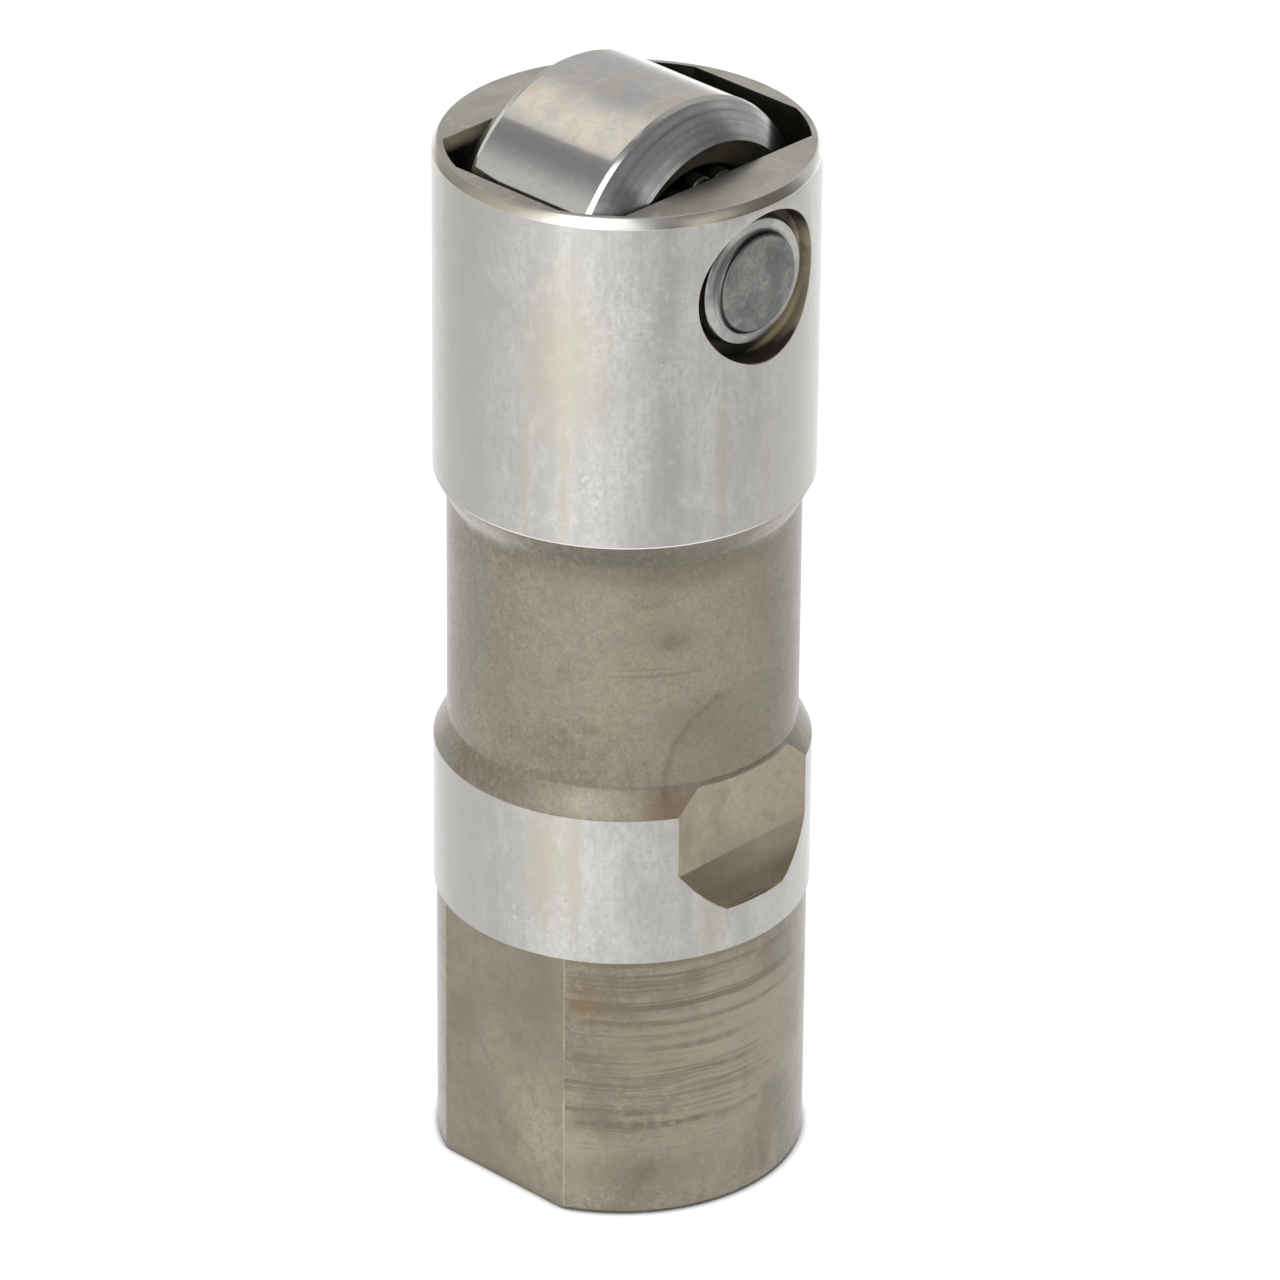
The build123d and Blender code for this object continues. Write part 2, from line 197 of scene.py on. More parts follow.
class LifterRollerSizes(bpy.types.PropertyGroup):
    radius: size("Tread radius", (WHEEL_HIGH.z - WHEEL_LOW.z) / 2, "Radius of the roller's tread")
    axis_height: size("Axle height", WHEEL_AXIS, "Height of the roller's axle")
    tread_half: size("Tread half width", 4.21 * MM, "Half the width of the ground tread")
    edge_half: size("Edge half width", 4.53 * MM, "Half the width over the eased tread edges")
    edge_drop: size("Edge drop", 0.12 * MM, "Drop of the eased edges from the tread")
    hub_half: size("Hub half width", WHEEL_HIGH.y, "Half the width over the hub")
    hub_radius: size("Hub radius", 6.95 * MM, "Radius where the bevelled side ends")
    recess_depth: size("Recess depth", 1.05 * MM, "Depth of the recess in the hub's face")
    race_radius: size("Race radius", 5.29 * MM, "Radius of the needle race")
    race_chamfer: size("Race chamfer", 0.15 * MM, "Chamfer at the needle race's ends")
    needle_count: bpy.props.IntProperty(
        name="Needles", description="How many needle rollers stand round the axle", default=17, min=3
    )
    needle_radius: size("Needle radius", 0.80 * MM, "Radius of one needle roller")
    needle_half: size("Needle half length", NEEDLE_HIGH.y, "Half the length of one needle roller")
    needle_end: size("Needle end", 0.18 * MM, "How far a needle's ends are rounded")
    pitch_radius: size("Needle pitch radius", 4.47 * MM, "Radius of the circle that the needles stand on")
    first_angle: bpy.props.FloatProperty(
        name="First needle", description="Angle of the first needle from +X towards +Z",
        default=math.radians(95.9), subtype="ANGLE",
    )


class LifterAxleSizes(bpy.types.PropertyGroup):
    radius: size("Axle radius", 3.65 * MM, "Radius of the axle")
    half_length: size("Axle half length", AXLE_HIGH.y, "Half the axle's length")
    core_rise: size("Stake core rise", 0.45 * MM, "How far each core stands over the bead")
    core_round: size("Stake core round", 0.10 * MM, "Rounding of the core's edge")
    core_radius: size("Stake core radius", 2.82 * MM, "Radius of the flat core at each staked end")
    hollow_radius: size("Stake hollow radius", 0.28 * MM, "Radius of the hollow between core and bead")
    bead_radius: size("Stake bead radius", AXLE_HIGH.x, "Radius of the bead round each staked end")
    bead_length: size("Stake bead length", 0.32 * MM, "Length of the bead round each staked end")
    bead_round: size("Stake bead round", 0.14 * MM, "Rounding of the bead's edge")


class LifterSeatSizes(bpy.types.PropertyGroup):
    radius: size("Seat radius", SEAT_HIGH.x, "Radius of the pushrod seat")
    face: size("Seat face", SEAT_LOW.z, "Height of the seat's open face")
    end: size("Seat end", SEAT_HIGH.z, "Height of the seat's inner end")
    chamfer: size("Seat chamfer", 0.25 * MM, "Chamfer round the seat's face")
    socket_radius: size("Socket radius", 4.00 * MM, "Radius of the pushrod's ball socket")
    socket_depth: size("Socket depth", 3.40 * MM, "Depth of the pushrod's ball socket")
    lead_width: size("Lead width", 0.45 * MM, "Width of the socket's lead-in")
    lead_depth: size("Lead depth", 0.35 * MM, "Depth of the socket's lead-in")
    oil_radius: size("Oil hole radius", 0.80 * MM, "Radius of the oil hole in the socket")
    pocket_radius: size("Disc pocket radius", 6.10 * MM, "Radius of the metering disc's pocket")
    pocket_depth: size("Disc pocket depth", 0.90 * MM, "Depth of the metering disc's pocket")
    ring_wire: size("Ring wire radius", 0.60 * MM, "Radius of the retaining ring's wire")
    ring_centre: size("Ring centre radius", 7.90 * MM, "Radius of the retaining ring's centreline")
    ring_opening: bpy.props.FloatProperty(
        name="Ring opening", description="Angle left open in the retaining ring",
        default=math.radians(46), subtype="ANGLE",
    )


class LifterSpringSizes(bpy.types.PropertyGroup):
    wire: size("Wire radius", 0.50 * MM, "Radius of the return spring's wire")
    turns: bpy.props.IntProperty(name="Turns", description="Turns of the return spring", default=3, min=1)
    travel: size("Travel", 3.80 * MM, "How far the plunger slides")
    check_wire: size("Check wire radius", 0.14 * MM, "Radius of the check spring's wire")
    check_turns: bpy.props.IntProperty(
        name="Check turns", description="Turns of the check ball's spring", default=2, min=1
    )
    check_travel: size("Check travel", 0.35 * MM, "How far the check ball lifts")


class LifterFinish(bpy.types.PropertyGroup):
    ground: colour("Ground steel", (0.54, 0.53, 0.505), "The ground bands")
    ground_stain: colour("Ground steel stain", (0.49, 0.45, 0.36), "The tan streaks on the ground bands")
    dark: colour("Dark steel", (0.275, 0.240, 0.178), "The unground neck and lower end")
    dark_stain: colour("Dark steel stain", (0.20, 0.165, 0.11), "The brown marks on the unground steel")
    rust: colour("Rust", (0.30, 0.17, 0.07), "The few rusty spots")
    # The worn colour also serves for painted glints and painted reflections.
    worn: colour("Worn and glinting edge", (0.72, 0.71, 0.68), "Edges rubbed bright, and painted glints")
    # The slot's colours: painted shade with oil, and painted light along the lit edge.
    slot: colour("Slot steel", (0.045, 0.042, 0.030), "The walls of the roller slot, in painted shade and oil")
    slot_painted_light: colour("Slot painted light", (0.52, 0.48, 0.35), "Painted light along the lit edge of the slot's wall")
    pocket: colour("Pocket steel", (0.80, 0.70, 0.50), "The bronze tinted walls of the axle's pockets")
    end_face: colour("End face", (0.575, 0.56, 0.495), "The flat end round the roller")
    rim: colour("Rim chamfer", (0.80, 0.79, 0.76), "The chamfer round the roller end")
    tread: colour("Roller tread", (0.63, 0.615, 0.59), "The roller's ground tread")
    # The tread's straw and cool colours are painted reflections.
    tread_straw_reflection: colour("Roller straw reflection", (0.70, 0.64, 0.55), "The painted straw reflections on the roller's tread")
    tread_cool_reflection: colour("Roller cool reflection", (0.50, 0.52, 0.55), "The painted blue grey reflections on the roller's tread")
    roller_side: colour("Roller side", (0.47, 0.47, 0.46), "The turned sides of the roller")
    # The roller's edge colour is partly rubbed steel and partly a painted glint.
    roller_edge_glint: colour("Roller edge glint", (0.93, 0.93, 0.91), "The roller's eased edges, rubbed bright")
    # Painted shade in the roller's recess.
    recess: colour("Roller recess", (0.17, 0.155, 0.105), "The recess in the roller's hub, in painted shade")
    axle: colour("Axle", (0.245, 0.245, 0.235), "The staked ends of the axle")
    axle_bead: colour("Axle bead", (0.49, 0.485, 0.47), "The rounded bead of each staked end")
    inner: colour("Inner steel", (0.42, 0.41, 0.39), "The oiled pieces inside")


def select_only(piece):
    """Makes one object the selected and the active one."""
    bpy.ops.object.select_all(action="DESELECT")
    piece.select_set(True)
    bpy.context.view_layer.objects.active = piece


def edit(piece, mode="VERT"):
    """Opens one object in edit mode with nothing selected."""
    select_only(piece)
    bpy.ops.object.mode_set(mode="EDIT")
    bpy.ops.mesh.select_mode(type=mode)
    bpy.ops.mesh.select_all(action="DESELECT")


def select_all():
    """Selects the whole mesh in edit mode."""
    bpy.ops.mesh.select_all(action="SELECT")


def leave_edit():
    """Leaves edit mode."""
    bpy.ops.object.mode_set(mode="OBJECT")


def place(piece):
    """Leaves the piece's place in its mesh and its object at the origin."""
    select_only(piece)
    bpy.ops.object.transform_apply(location=True, rotation=True, scale=True)


def finish_mesh(piece, join=JOIN_DISTANCE):
    """Merges doubles and turns every face outwards."""
    edit(piece)
    select_all()
    bpy.ops.mesh.remove_doubles(threshold=join)
    bpy.ops.mesh.normals_make_consistent(inside=False)
    leave_edit()


def shade(piece):
    """Smooth shading that keeps true edges, with the broad faces setting the normals."""
    select_only(piece)
    bpy.ops.object.shade_smooth_by_angle(angle=SMOOTH_ANGLE)
    weighted = piece.modifiers.new("Broad faces", "WEIGHTED_NORMAL")
    weighted.keep_sharp = True
    weighted.weight = BROAD_FACE_WEIGHT
    bpy.ops.object.modifier_apply(modifier=weighted.name)


def eased(points, ease):
    """The profile with its corners rounded off: each becomes a short curve of three points."""
    rounded = points[:1]
    for previous, point, following in zip(points, points[1:], points[2:]):
        corner = Vector(point)
        before, after = Vector(previous) - corner, Vector(following) - corner
        reach = min(ease, before.length / 3, after.length / 3)
        start = corner + before.normalized() * reach
        end = corner + after.normalized() * reach
        middle = (start + 2 * corner + end) / 4
        rounded += [tuple(start), tuple(middle), tuple(end)]
    return rounded + points[-1:]


def turned(name, profile, closed=False, segments=SEGMENTS):
    """A solid turned about Z from (radius, height) points, extruded ring by ring.

    An open profile gets a flat disc at both ends; a closed one joins its last ring to its first.
    """
    bpy.ops.object.select_all(action="DESELECT")
    radius, height = profile[0]
    bpy.ops.mesh.primitive_circle_add(
        vertices=segments, radius=radius, fill_type="NOTHING" if closed else "NGON", location=(0, 0, height)
    )
    piece = bpy.context.object
    piece.name = name
    place(piece)
    edit(piece)
    select_all()
    for next_radius, next_height in profile[1:] + (profile[:1] if closed else []):
        bpy.ops.mesh.extrude_region_move(TRANSFORM_OT_translate={"value": (0, 0, next_height - height)})
        ratio = next_radius / radius
        bpy.ops.transform.resize(value=(ratio, ratio, 1), center_override=(0, 0, next_height))
        radius, height = next_radius, next_height
    leave_edit()
    finish_mesh(piece)
    return piece


def along_axle(piece, height):
    """Lays a piece modelled about Z along the roller's axle, which runs along Y."""
    piece.rotation_euler = (math.radians(90), 0, 0)
    piece.location = (0, 0, height)
    place(piece)


def mirrored_profile(half):
    """Both halves of a profile about height 0, from its upper half."""
    return half + [(radius, -height) for radius, height in reversed(half)]


def block(name, low, high):
    """A plain block between two corners, used only as a cutter."""
    bpy.ops.object.select_all(action="DESELECT")
    bpy.ops.mesh.primitive_cube_add(size=1)
    piece = bpy.context.object
    piece.name = name
    piece.scale = [b - a for a, b in zip(low, high)]
    piece.location = [(a + b) / 2 for a, b in zip(low, high)]
    place(piece)
    return piece


def cut(piece, cutter, operation="DIFFERENCE"):
    """Cuts one mesh with another, which is used up."""
    select_only(piece)
    modifier = piece.modifiers.new("Cut", "BOOLEAN")
    modifier.object = cutter
    modifier.operation = operation
    modifier.solver = "EXACT"
    bpy.ops.object.modifier_apply(modifier=modifier.name)
    bpy.data.objects.remove(cutter)


def wire_section(name, wire_radius, centre_radius, height):
    """The round section of a wire, standing upright at the start of its turn."""
    bpy.ops.object.select_all(action="DESELECT")
    bpy.ops.mesh.primitive_circle_add(
        vertices=WIRE_SEGMENTS,
        radius=wire_radius,
        fill_type="NOTHING",
        location=(centre_radius, 0, height),
        rotation=(math.radians(90), 0, 0),
    )
    piece = bpy.context.object
    piece.name = name
    place(piece)
    return piece


def coil(name, wire_radius, centre_radius, bottom, top, turns):
    """An open coil of round wire, its centreline climbing from one height to the other."""
    piece = wire_section(name, wire_radius, centre_radius, bottom)
    screw = piece.modifiers.new("Turns", "SCREW")
    screw.angle = 2 * math.pi
    screw.screw_offset = (top - bottom) / turns
    screw.iterations = turns
    screw.steps = SEGMENTS // 4
    screw.render_steps = SEGMENTS // 4
    screw.use_smooth_shade = False
    bpy.ops.object.modifier_apply(modifier=screw.name)
    edit(piece)
    close_ends(piece)
    return piece


def close_ends(piece):
    """Closes a wire's open ends, from edit mode, and finishes its mesh."""
    select_all()
    bpy.ops.mesh.fill_holes(sides=0)
    leave_edit()
    finish_mesh(piece)


def grind_ends(piece, bottom, top):
    """Cuts a coil off flat at both ends, as the spring is ground."""
    for height, outwards in ((bottom, -1), (top, 1)):
        edit(piece)
        select_all()
        bpy.ops.mesh.bisect(
            plane_co=(0, 0, height), plane_no=(0, 0, outwards), use_fill=True, clear_outer=True, threshold=1e-9
        )
        leave_edit()
    finish_mesh(piece)


def toned(colour, *factors):
    """A colour made lighter or darker by one factor, or by one for each of its channels."""
    return [factor * channel for factor, channel in zip(factors * 3 if len(factors) == 1 else factors, colour)]


def solid(value):
    """A colour with its alpha, where it is a plain one."""
    return value if isinstance(value, bpy.types.NodeSocket) else (*value[:3], 1.0)


def add(tree, kind, inputs=(), **settings):
    """Adds one node: an input given as a socket is linked, one given as a value is set."""
    made = tree.nodes.new(kind)
    for key, value in settings.items():
        setattr(made, key, value)
    for key, value in dict(inputs).items():
        if isinstance(value, bpy.types.NodeSocket):
            tree.links.new(value, made.inputs[key])
        else:
            made.inputs[key].default_value = value
    return made


def maths(tree, operation, *values):
    """One Math node on sockets or plain numbers."""
    return add(tree, "ShaderNodeMath", enumerate(values), operation=operation).outputs[0]


def vector_maths(tree, operation, *values):
    """One Vector Math node that gives a vector."""
    return add(tree, "ShaderNodeVectorMath", enumerate(values), operation=operation).outputs[0]


def resized(tree, vector, scale):
    """A vector times a number."""
    return add(tree, "ShaderNodeVectorMath", {0: vector, "Scale": scale}, operation="SCALE").outputs[0]


def length(tree, vector):
    """The length of a vector."""
    return add(tree, "ShaderNodeVectorMath", {0: vector}, operation="LENGTH").outputs["Value"]


def split(tree, vector):
    """The X, Y and Z of a vector."""
    return add(tree, "ShaderNodeSeparateXYZ", {0: vector}).outputs


def ramp(tree, value, low, high, to_low=0.0, to_high=1.0):
    """Eases a value from one range to another."""
    return add(
        tree,
        "ShaderNodeMapRange",
        {"Value": value, "From Min": low, "From Max": high, "To Min": to_low, "To Max": to_high},
        interpolation_type="SMOOTHSTEP",
    ).outputs["Result"]


def fade(tree, distance, softness, reach=1.0):
    """1 inside the reach and 0 outside it, with an edge as soft as asked on both sides."""
    low, high = maths(tree, "SUBTRACT", reach, softness), maths(tree, "ADD", reach, softness)
    return ramp(tree, distance, low, high, 1.0, 0.0)


def noise(tree, place, scale, detail):
    """The outputs of a noise: its value, then its colour."""
    return add(tree, "ShaderNodeTexNoise", {"Vector": place, "Scale": scale, "Detail": detail}).outputs


def blend(tree, factor, first, second):
    """Mixes two colours."""
    return add(
        tree, "ShaderNodeMix", {0: factor, 6: solid(first), 7: solid(second)}, data_type="RGBA", blend_type="MIX"
    ).outputs[2]


def new_group(name, inputs, *outputs):
    """An empty node group with its named inputs, vectors or numbers, and the numbers that it puts out."""
    group = bpy.data.node_groups.new(name, "ShaderNodeTree")
    for label, value in inputs.items():
        kind = "NodeSocketFloat" if isinstance(value, float) else "NodeSocketVector"
        group.interface.new_socket(name=label, in_out="INPUT", socket_type=kind).default_value = value
    for label in outputs:
        group.interface.new_socket(name=label, in_out="OUTPUT", socket_type="NodeSocketFloat")
    return group, group.nodes.new("NodeGroupInput").outputs, group.nodes.new("NodeGroupOutput").inputs


def place_group(tree, name, **values):
    """Puts a shared node group into a material and returns its outputs."""
    inputs = {key.replace("_", " ").capitalize(): value for key, value in values.items()}
    return add(tree, "ShaderNodeGroup", inputs, node_tree=bpy.data.node_groups[name]).outputs


def jitter(group, entry, scale, detail, amount):
    """The noise that makes the outline of a patch or cloud ragged."""
    off = maths(group, "SUBTRACT", noise(group, entry["Place"], scale, detail)[0], 0.5)
    return maths(group, "MULTIPLY", maths(group, "MULTIPLY", off, entry["Ragged"]), amount)


def make_grain_group():
    """Noise stretched along chosen directions: blotches, turning lines or drawn streaks."""
    group, entry, leave = new_group(
        "Lifter Grain",
        {"Place": (0, 0, 0), "Stretch": (1, 1, 1), "Detail": 3.0, "Low": 0.4, "High": 0.6, "Warp": 0.0},
        "Mask",
        "Height",
    )
    shift = vector_maths(group, "SUBTRACT", noise(group, entry["Place"], 0.35, 1.0)["Color"], (0.5, 0.5, 0.5))
    moved = vector_maths(group, "ADD", entry["Place"], resized(group, shift, entry["Warp"]))
    stretched = vector_maths(group, "MULTIPLY", moved, entry["Stretch"])
    value = noise(group, stretched, 1.0, entry["Detail"])[0]
    group.links.new(ramp(group, value, entry["Low"], entry["High"]), leave["Mask"])
    group.links.new(value, leave["Height"])


def make_patch_group():
    """A soft-edged, ragged patch at one bearing and height on a round body."""
    group, entry, leave = new_group(
        "Lifter Patch",
        {"Place": (0, 0, 0), "Bearing": 0.0, "Height": 0.0, "Radius": 10.0, "Half width": 1.0, "Half height": 1.0,
         "Softness": 0.5, "Ragged": 0.3},
        "Mask",
        "Distance",
    )
    back = {"Vector": entry["Place"], "Angle": maths(group, "MULTIPLY", entry["Bearing"], -1.0)}
    x, y, z = split(group, add(group, "ShaderNodeVectorRotate", back, rotation_type="Z_AXIS").outputs[0])
    around = maths(group, "MULTIPLY", maths(group, "ARCTAN2", y, x), entry["Radius"])
    across = maths(group, "DIVIDE", around, entry["Half width"])
    along = maths(group, "DIVIDE", maths(group, "SUBTRACT", z, entry["Height"]), entry["Half height"])
    squares = [maths(group, "MULTIPLY", value, value) for value in (across, along)]
    reach = maths(group, "SQRT", maths(group, "ADD", *squares))
    distance = maths(group, "ADD", reach, jitter(group, entry, 1.3, 4.0, 2.0))
    group.links.new(fade(group, distance, entry["Softness"]), leave["Mask"])
    group.links.new(distance, leave["Distance"])


def make_speck_group():
    """Small dark specks and pits, thinned out by a coarser noise."""
    group, entry, leave = new_group(
        "Lifter Specks", {"Place": (0, 0, 0), "Spacing": 1.0, "Size": 0.1, "Amount": 0.5}, "Mask"
    )
    scale = maths(group, "DIVIDE", 1.0, entry["Spacing"])
    cells = add(group, "ShaderNodeTexVoronoi", {"Vector": entry["Place"], "Scale": scale}).outputs
    near = ramp(group, maths(group, "DIVIDE", cells["Distance"], entry["Size"]), 0.5, 1.0, 1.0, 0.0)
    chance = add(group, "ShaderNodeSeparateColor", {0: cells["Color"]}).outputs[0]
    kept = maths(group, "LESS_THAN", chance, entry["Amount"])
    group.links.new(maths(group, "MULTIPLY", near, kept), leave["Mask"])


def make_scratch_group():
    """Fine curved scratches: the thin lines along which a stretched noise crosses its middle."""
    group, entry, leave = new_group(
        "Lifter Scratches", {"Place": (0, 0, 0), "Stretch": (1, 1, 1), "Width": 0.01, "Amount": 0.5}, "Mask"
    )
    stretched = vector_maths(group, "MULTIPLY", entry["Place"], entry["Stretch"])
    off = maths(group, "ABSOLUTE", maths(group, "SUBTRACT", noise(group, stretched, 1.0, 2.0)[0], 0.5))
    line = ramp(group, maths(group, "DIVIDE", off, entry["Width"]), 0.3, 1.0, 1.0, 0.0)
    gate = noise(group, entry["Place"], 0.8, 1.0)[0]
    low = maths(group, "SUBTRACT", 1.0, entry["Amount"])
    shown = ramp(group, gate, low, maths(group, "ADD", low, 0.12))
    group.links.new(maths(group, "MULTIPLY", line, shown), leave["Mask"])


def make_cloud_group():
    """A soft-edged, ragged cloud round one point of a piece."""
    group, entry, leave = new_group(
        "Lifter Cloud",
        {"Place": (0, 0, 0), "Centre": (0, 0, 0), "Reach": (1, 1, 1), "Softness": 0.5, "Ragged": 0.5},
        "Mask",
    )
    away = vector_maths(group, "SUBTRACT", entry["Place"], entry["Centre"])
    reach = length(group, vector_maths(group, "DIVIDE", away, entry["Reach"]))
    distance = maths(group, "ADD", reach, jitter(group, entry, 0.9, 5.0, 4.0))
    group.links.new(fade(group, distance, entry["Softness"]), leave["Mask"])


class Finish:
    """One steel finish: a Principled shader whose colour, roughness and relief are built up in layers.

    Places and lengths are in millimetres. A tint is a colour, or a number that makes the finish's own base
    colour lighter or darker. A stretch is the scale of a noise: one number, one across and one up the axis, or
    one for each of X, Y and Z.
    """

    def __init__(self, name, base, rough, anisotropic=0.0, metallic=1.0, film=0.0, radius=None):
        self.material = bpy.data.materials.new(name)
        self.material.use_nodes = True
        self.tree = self.material.node_tree
        self.shader = self.tree.nodes["Principled BSDF"]
        for key, value in (
            ("Metallic", metallic),
            ("Anisotropic", anisotropic),
            ("Anisotropic Rotation", ANISOTROPIC_TURN),
            ("Coat Weight", film),
            ("Coat Roughness", FILM_ROUGHNESS),
        ):
            self.shader.inputs[key].default_value = value
        self.place = resized(self.tree, add(self.tree, "ShaderNodeTexCoord").outputs["Object"], 1 / MM)
        self.base = base
        self.radius = radius
        self.colour = solid(base)
        self.rough = rough
        self.height = None

    def group(self, name, stretch=None, **values):
        """Places a shared group on the finish's coordinates."""
        if stretch is not None:
            values["stretch"] = (
                (stretch,) * 3 if isinstance(stretch, float) else
                (stretch[0], *stretch) if len(stretch) == 2 else stretch
            )
        return place_group(self.tree, name, place=self.place, **values)

    def grain(self, tint, amount, stretch, low, high, detail, warp=0.0, mask=None, relief=0.0, rough=0.0):
        """Tints the steel where a stretched noise is high."""
        out = self.group("Lifter Grain", stretch, detail=detail, low=low, high=high, warp=warp)
        self.layer(tint, out["Mask"], amount, rough, mask)
        if relief:
            part = maths(self.tree, "MULTIPLY", out["Height"], relief)
            self.height = part if self.height is None else maths(self.tree, "ADD", self.height, part)

    def spot(self, bearing, height, half_width, half_height, softness, ragged):
        """The mask of one place on the body, and the distance from it, without a tint."""
        return self.group(
            "Lifter Patch", bearing=math.radians(FRONT + bearing), height=height, radius=self.radius,
            half_width=half_width, half_height=half_height, softness=softness, ragged=ragged,
        )

    def patch(self, tint, amount, *where):
        """Tints the steel in one place."""
        out = self.spot(*where)
        self.layer(tint, out["Mask"], amount)
        return out

    def cloud(self, tint, amount, centre, reach, softness, ragged):
        """Tints the steel in a cloud round one point."""
        out = self.group("Lifter Cloud", centre=centre, reach=reach, softness=softness, ragged=ragged)
        self.layer(tint, out["Mask"], amount)

    def specks(self, tint, amount, spacing, speck, share):
        """Adds small dark specks."""
        out = self.group("Lifter Specks", spacing=spacing, size=speck, amount=share)
        self.layer(tint, out["Mask"], amount)

    def scratches(self, tint, amount, stretch, width, share, rough=0.0):
        """Adds fine curved scratches."""
        out = self.group("Lifter Scratches", stretch, width=width, amount=share)
        self.layer(tint, out["Mask"], amount, rough)

    def layer(self, tint, factor, amount=None, rough=0.0, mask=None):
        """Lays a tint over the colour so far, and adds to the roughness there."""
        for share in (amount, mask):
            if share is not None:
                factor = maths(self.tree, "MULTIPLY", factor, share)
        over = toned(self.base, tint) if isinstance(tint, float) else tint
        self.colour = blend(self.tree, factor, self.colour, over)
        if rough:
            self.rough = maths(self.tree, "MULTIPLY_ADD", factor, rough, self.rough)

    def along(self, axis):
        """The place along one axis."""
        return split(self.tree, self.place)[axis]

    def done(self):
        """Links the layers to the shader."""
        for key, value in (("Base Color", self.colour), ("Roughness", self.rough)):
            if isinstance(value, bpy.types.NodeSocket):
                self.tree.links.new(value, self.shader.inputs[key])
            else:
                self.shader.inputs[key].default_value = value
        if self.height is not None:
            bump = add(self.tree, "ShaderNodeBump", {"Height": self.height, "Strength": 1.0, "Distance": MM})
            self.tree.links.new(bump.outputs[0], self.shader.inputs["Normal"])
        return self.material


def ground_steel(finish):
    """The bright ground bands, with drawn-out streaks, tan stains and fine scratches, and painted shade towards their
    left and right sides.
    """
    f = Finish("Ground steel", finish.ground, 0.40, anisotropic=0.8, film=0.7, radius=GROUND_MM)
    f.grain(0.82, 0.8, (0.9, 0.03), 0.42, 0.62, 3.0, warp=0.4)
    f.grain(1.12, 0.8, (0.35, 0.06), 0.5, 0.66, 2.0)
    f.grain(0.80, 0.5, (0.55, 0.35), 0.48, 0.66, 4.0, warp=1.0)
    f.grain(1.15, 0.75, (1.1, 0.7), 0.42, 0.78, 5.0, warp=0.6, rough=-0.03)
    f.grain(0.82, 0.70, (3.6, 2.0), 0.40, 0.72, 5.0, relief=0.002)
    f.grain(0.82, 0.3, (0.3, 9.0), 0.5, 0.7, 2.0, relief=0.0012)
    for amount, *where in (
        (0.60, -19, 54, 2.2, 4.6),
        (0.75, -30.7, 46.6, 0.30, 3.8),
        (0.75, -17.8, 47.6, 0.28, 4.8),
        (0.70, 30.1, 46.8, 0.36, 4.4),
        (0.60, 46.8, 45.8, 0.28, 3.6),
        (0.80, -24.1, 22.4, 0.9, 3.6),
        (0.75, -14.8, 22.4, 0.5, 3.4),
        (0.65, 28.5, 18.3, 0.8, 1.6),
    ):
        f.patch(finish.ground_stain, amount, *where, 0.7, 1.0)
    for where in (
        (-30, 43.8, 3.0, 0.7), (-8, 46.2, 1.6, 2.0), (-32, 18.3, 1.8, 1.1), (-13, 18.0, 1.8, 1.0), (2, 57.5, 2.4, 3)
    ):
        rubbed = f.spot(*where, 0.5, 0.6)["Mask"]
        f.grain(finish.worn, 0.7, (3.6, 2.8), 0.50, 0.80, 5.0, warp=0.3, mask=rubbed, rough=-0.1)
    # Painted shade: the bands are darker towards their left and right sides.
    f.patch(0.78, 0.85, -57, 40, 2.8, 60, 0.6, 0.2)
    f.patch(0.90, 0.80, 62, 40, 2.4, 60, 0.6, 0.2)
    f.scratches(1.12, 0.35, (1.2, 2.6), 0.010, 0.5, rough=-0.06)
    f.specks(finish.dark_stain, 0.6, 1.6, 0.06, 0.25)
    return f.done()


def worn_and_glinting_edge(finish):
    """Corners rubbed bright in places, with a painted glint along the front of the head's lower edge."""
    f = Finish("Worn and glinting edge", toned(finish.dark, 1.5), 0.36, radius=BODY_RADIUS / MM)
    f.grain(finish.worn, 0.5, (0.9, 0.7), 0.42, 0.66, 5.0)
    # Painted glint: a bright band along the front of the head's lower edge.
    f.patch(toned(finish.worn, 1.2), 1.0, -4, 42.66, 8.5, 0.4, 0.3, 0.2)
    height = f.along("Z")
    below = ramp(f.tree, height, 9.0, 13.0, 1.0, 0.5)
    low_end = maths(f.tree, "MULTIPLY", below, ramp(f.tree, height, 14.9, 15.0, 1.0, 0.0))
    f.grain(toned(finish.dark, 1.05), 0.9, (0.3, 0.45), 0.44, 0.60, 5.0, mask=low_end)
    return f.done()


def dark_steel(finish, name, bright, radius):
    """The unground steel left by heat treatment: warm grey, mottled and specked."""
    base = toned(finish.dark, 1.05 * bright)
    f = Finish(name, base, 0.50, anisotropic=0.35, metallic=0.6, film=0.6, radius=radius)
    f.grain(0.80, 0.9, (0.26, 0.20), 0.42, 0.62, 5.0, warp=2.0, rough=0.05)
    f.grain(toned(base, 1.14, 1.17, 1.24), 0.7, (0.36, 0.28), 0.50, 0.68, 5.0, warp=2.0)
    f.grain(0.76, 0.85, (1.3, 1.1), 0.46, 0.66, 6.0, warp=1.5, relief=0.005)
    f.grain(1.34, 0.80, (3.4, 3.2), 0.50, 0.72, 6.0, relief=0.005)
    f.grain(finish.dark_stain, 0.16, (0.14, 4.0), 0.58, 0.7, 3.0, warp=0.5, relief=0.002)
    f.grain(0.66, 0.75, (5.0, 4.6), 0.50, 0.68, 5.0, relief=0.005)
    f.grain(0.62, 0.45, (1.9, 1.7), 0.58, 0.68, 5.0, warp=0.8)
    f.scratches(1.35, 0.55, (0.35, 0.8), 0.007, 0.42)
    f.specks(finish.dark_stain, 0.8, 1.0, 0.07, 0.35)
    f.specks(toned(finish.dark_stain, 0.4), 0.8, 2.3, 0.05, 0.6)
    return f


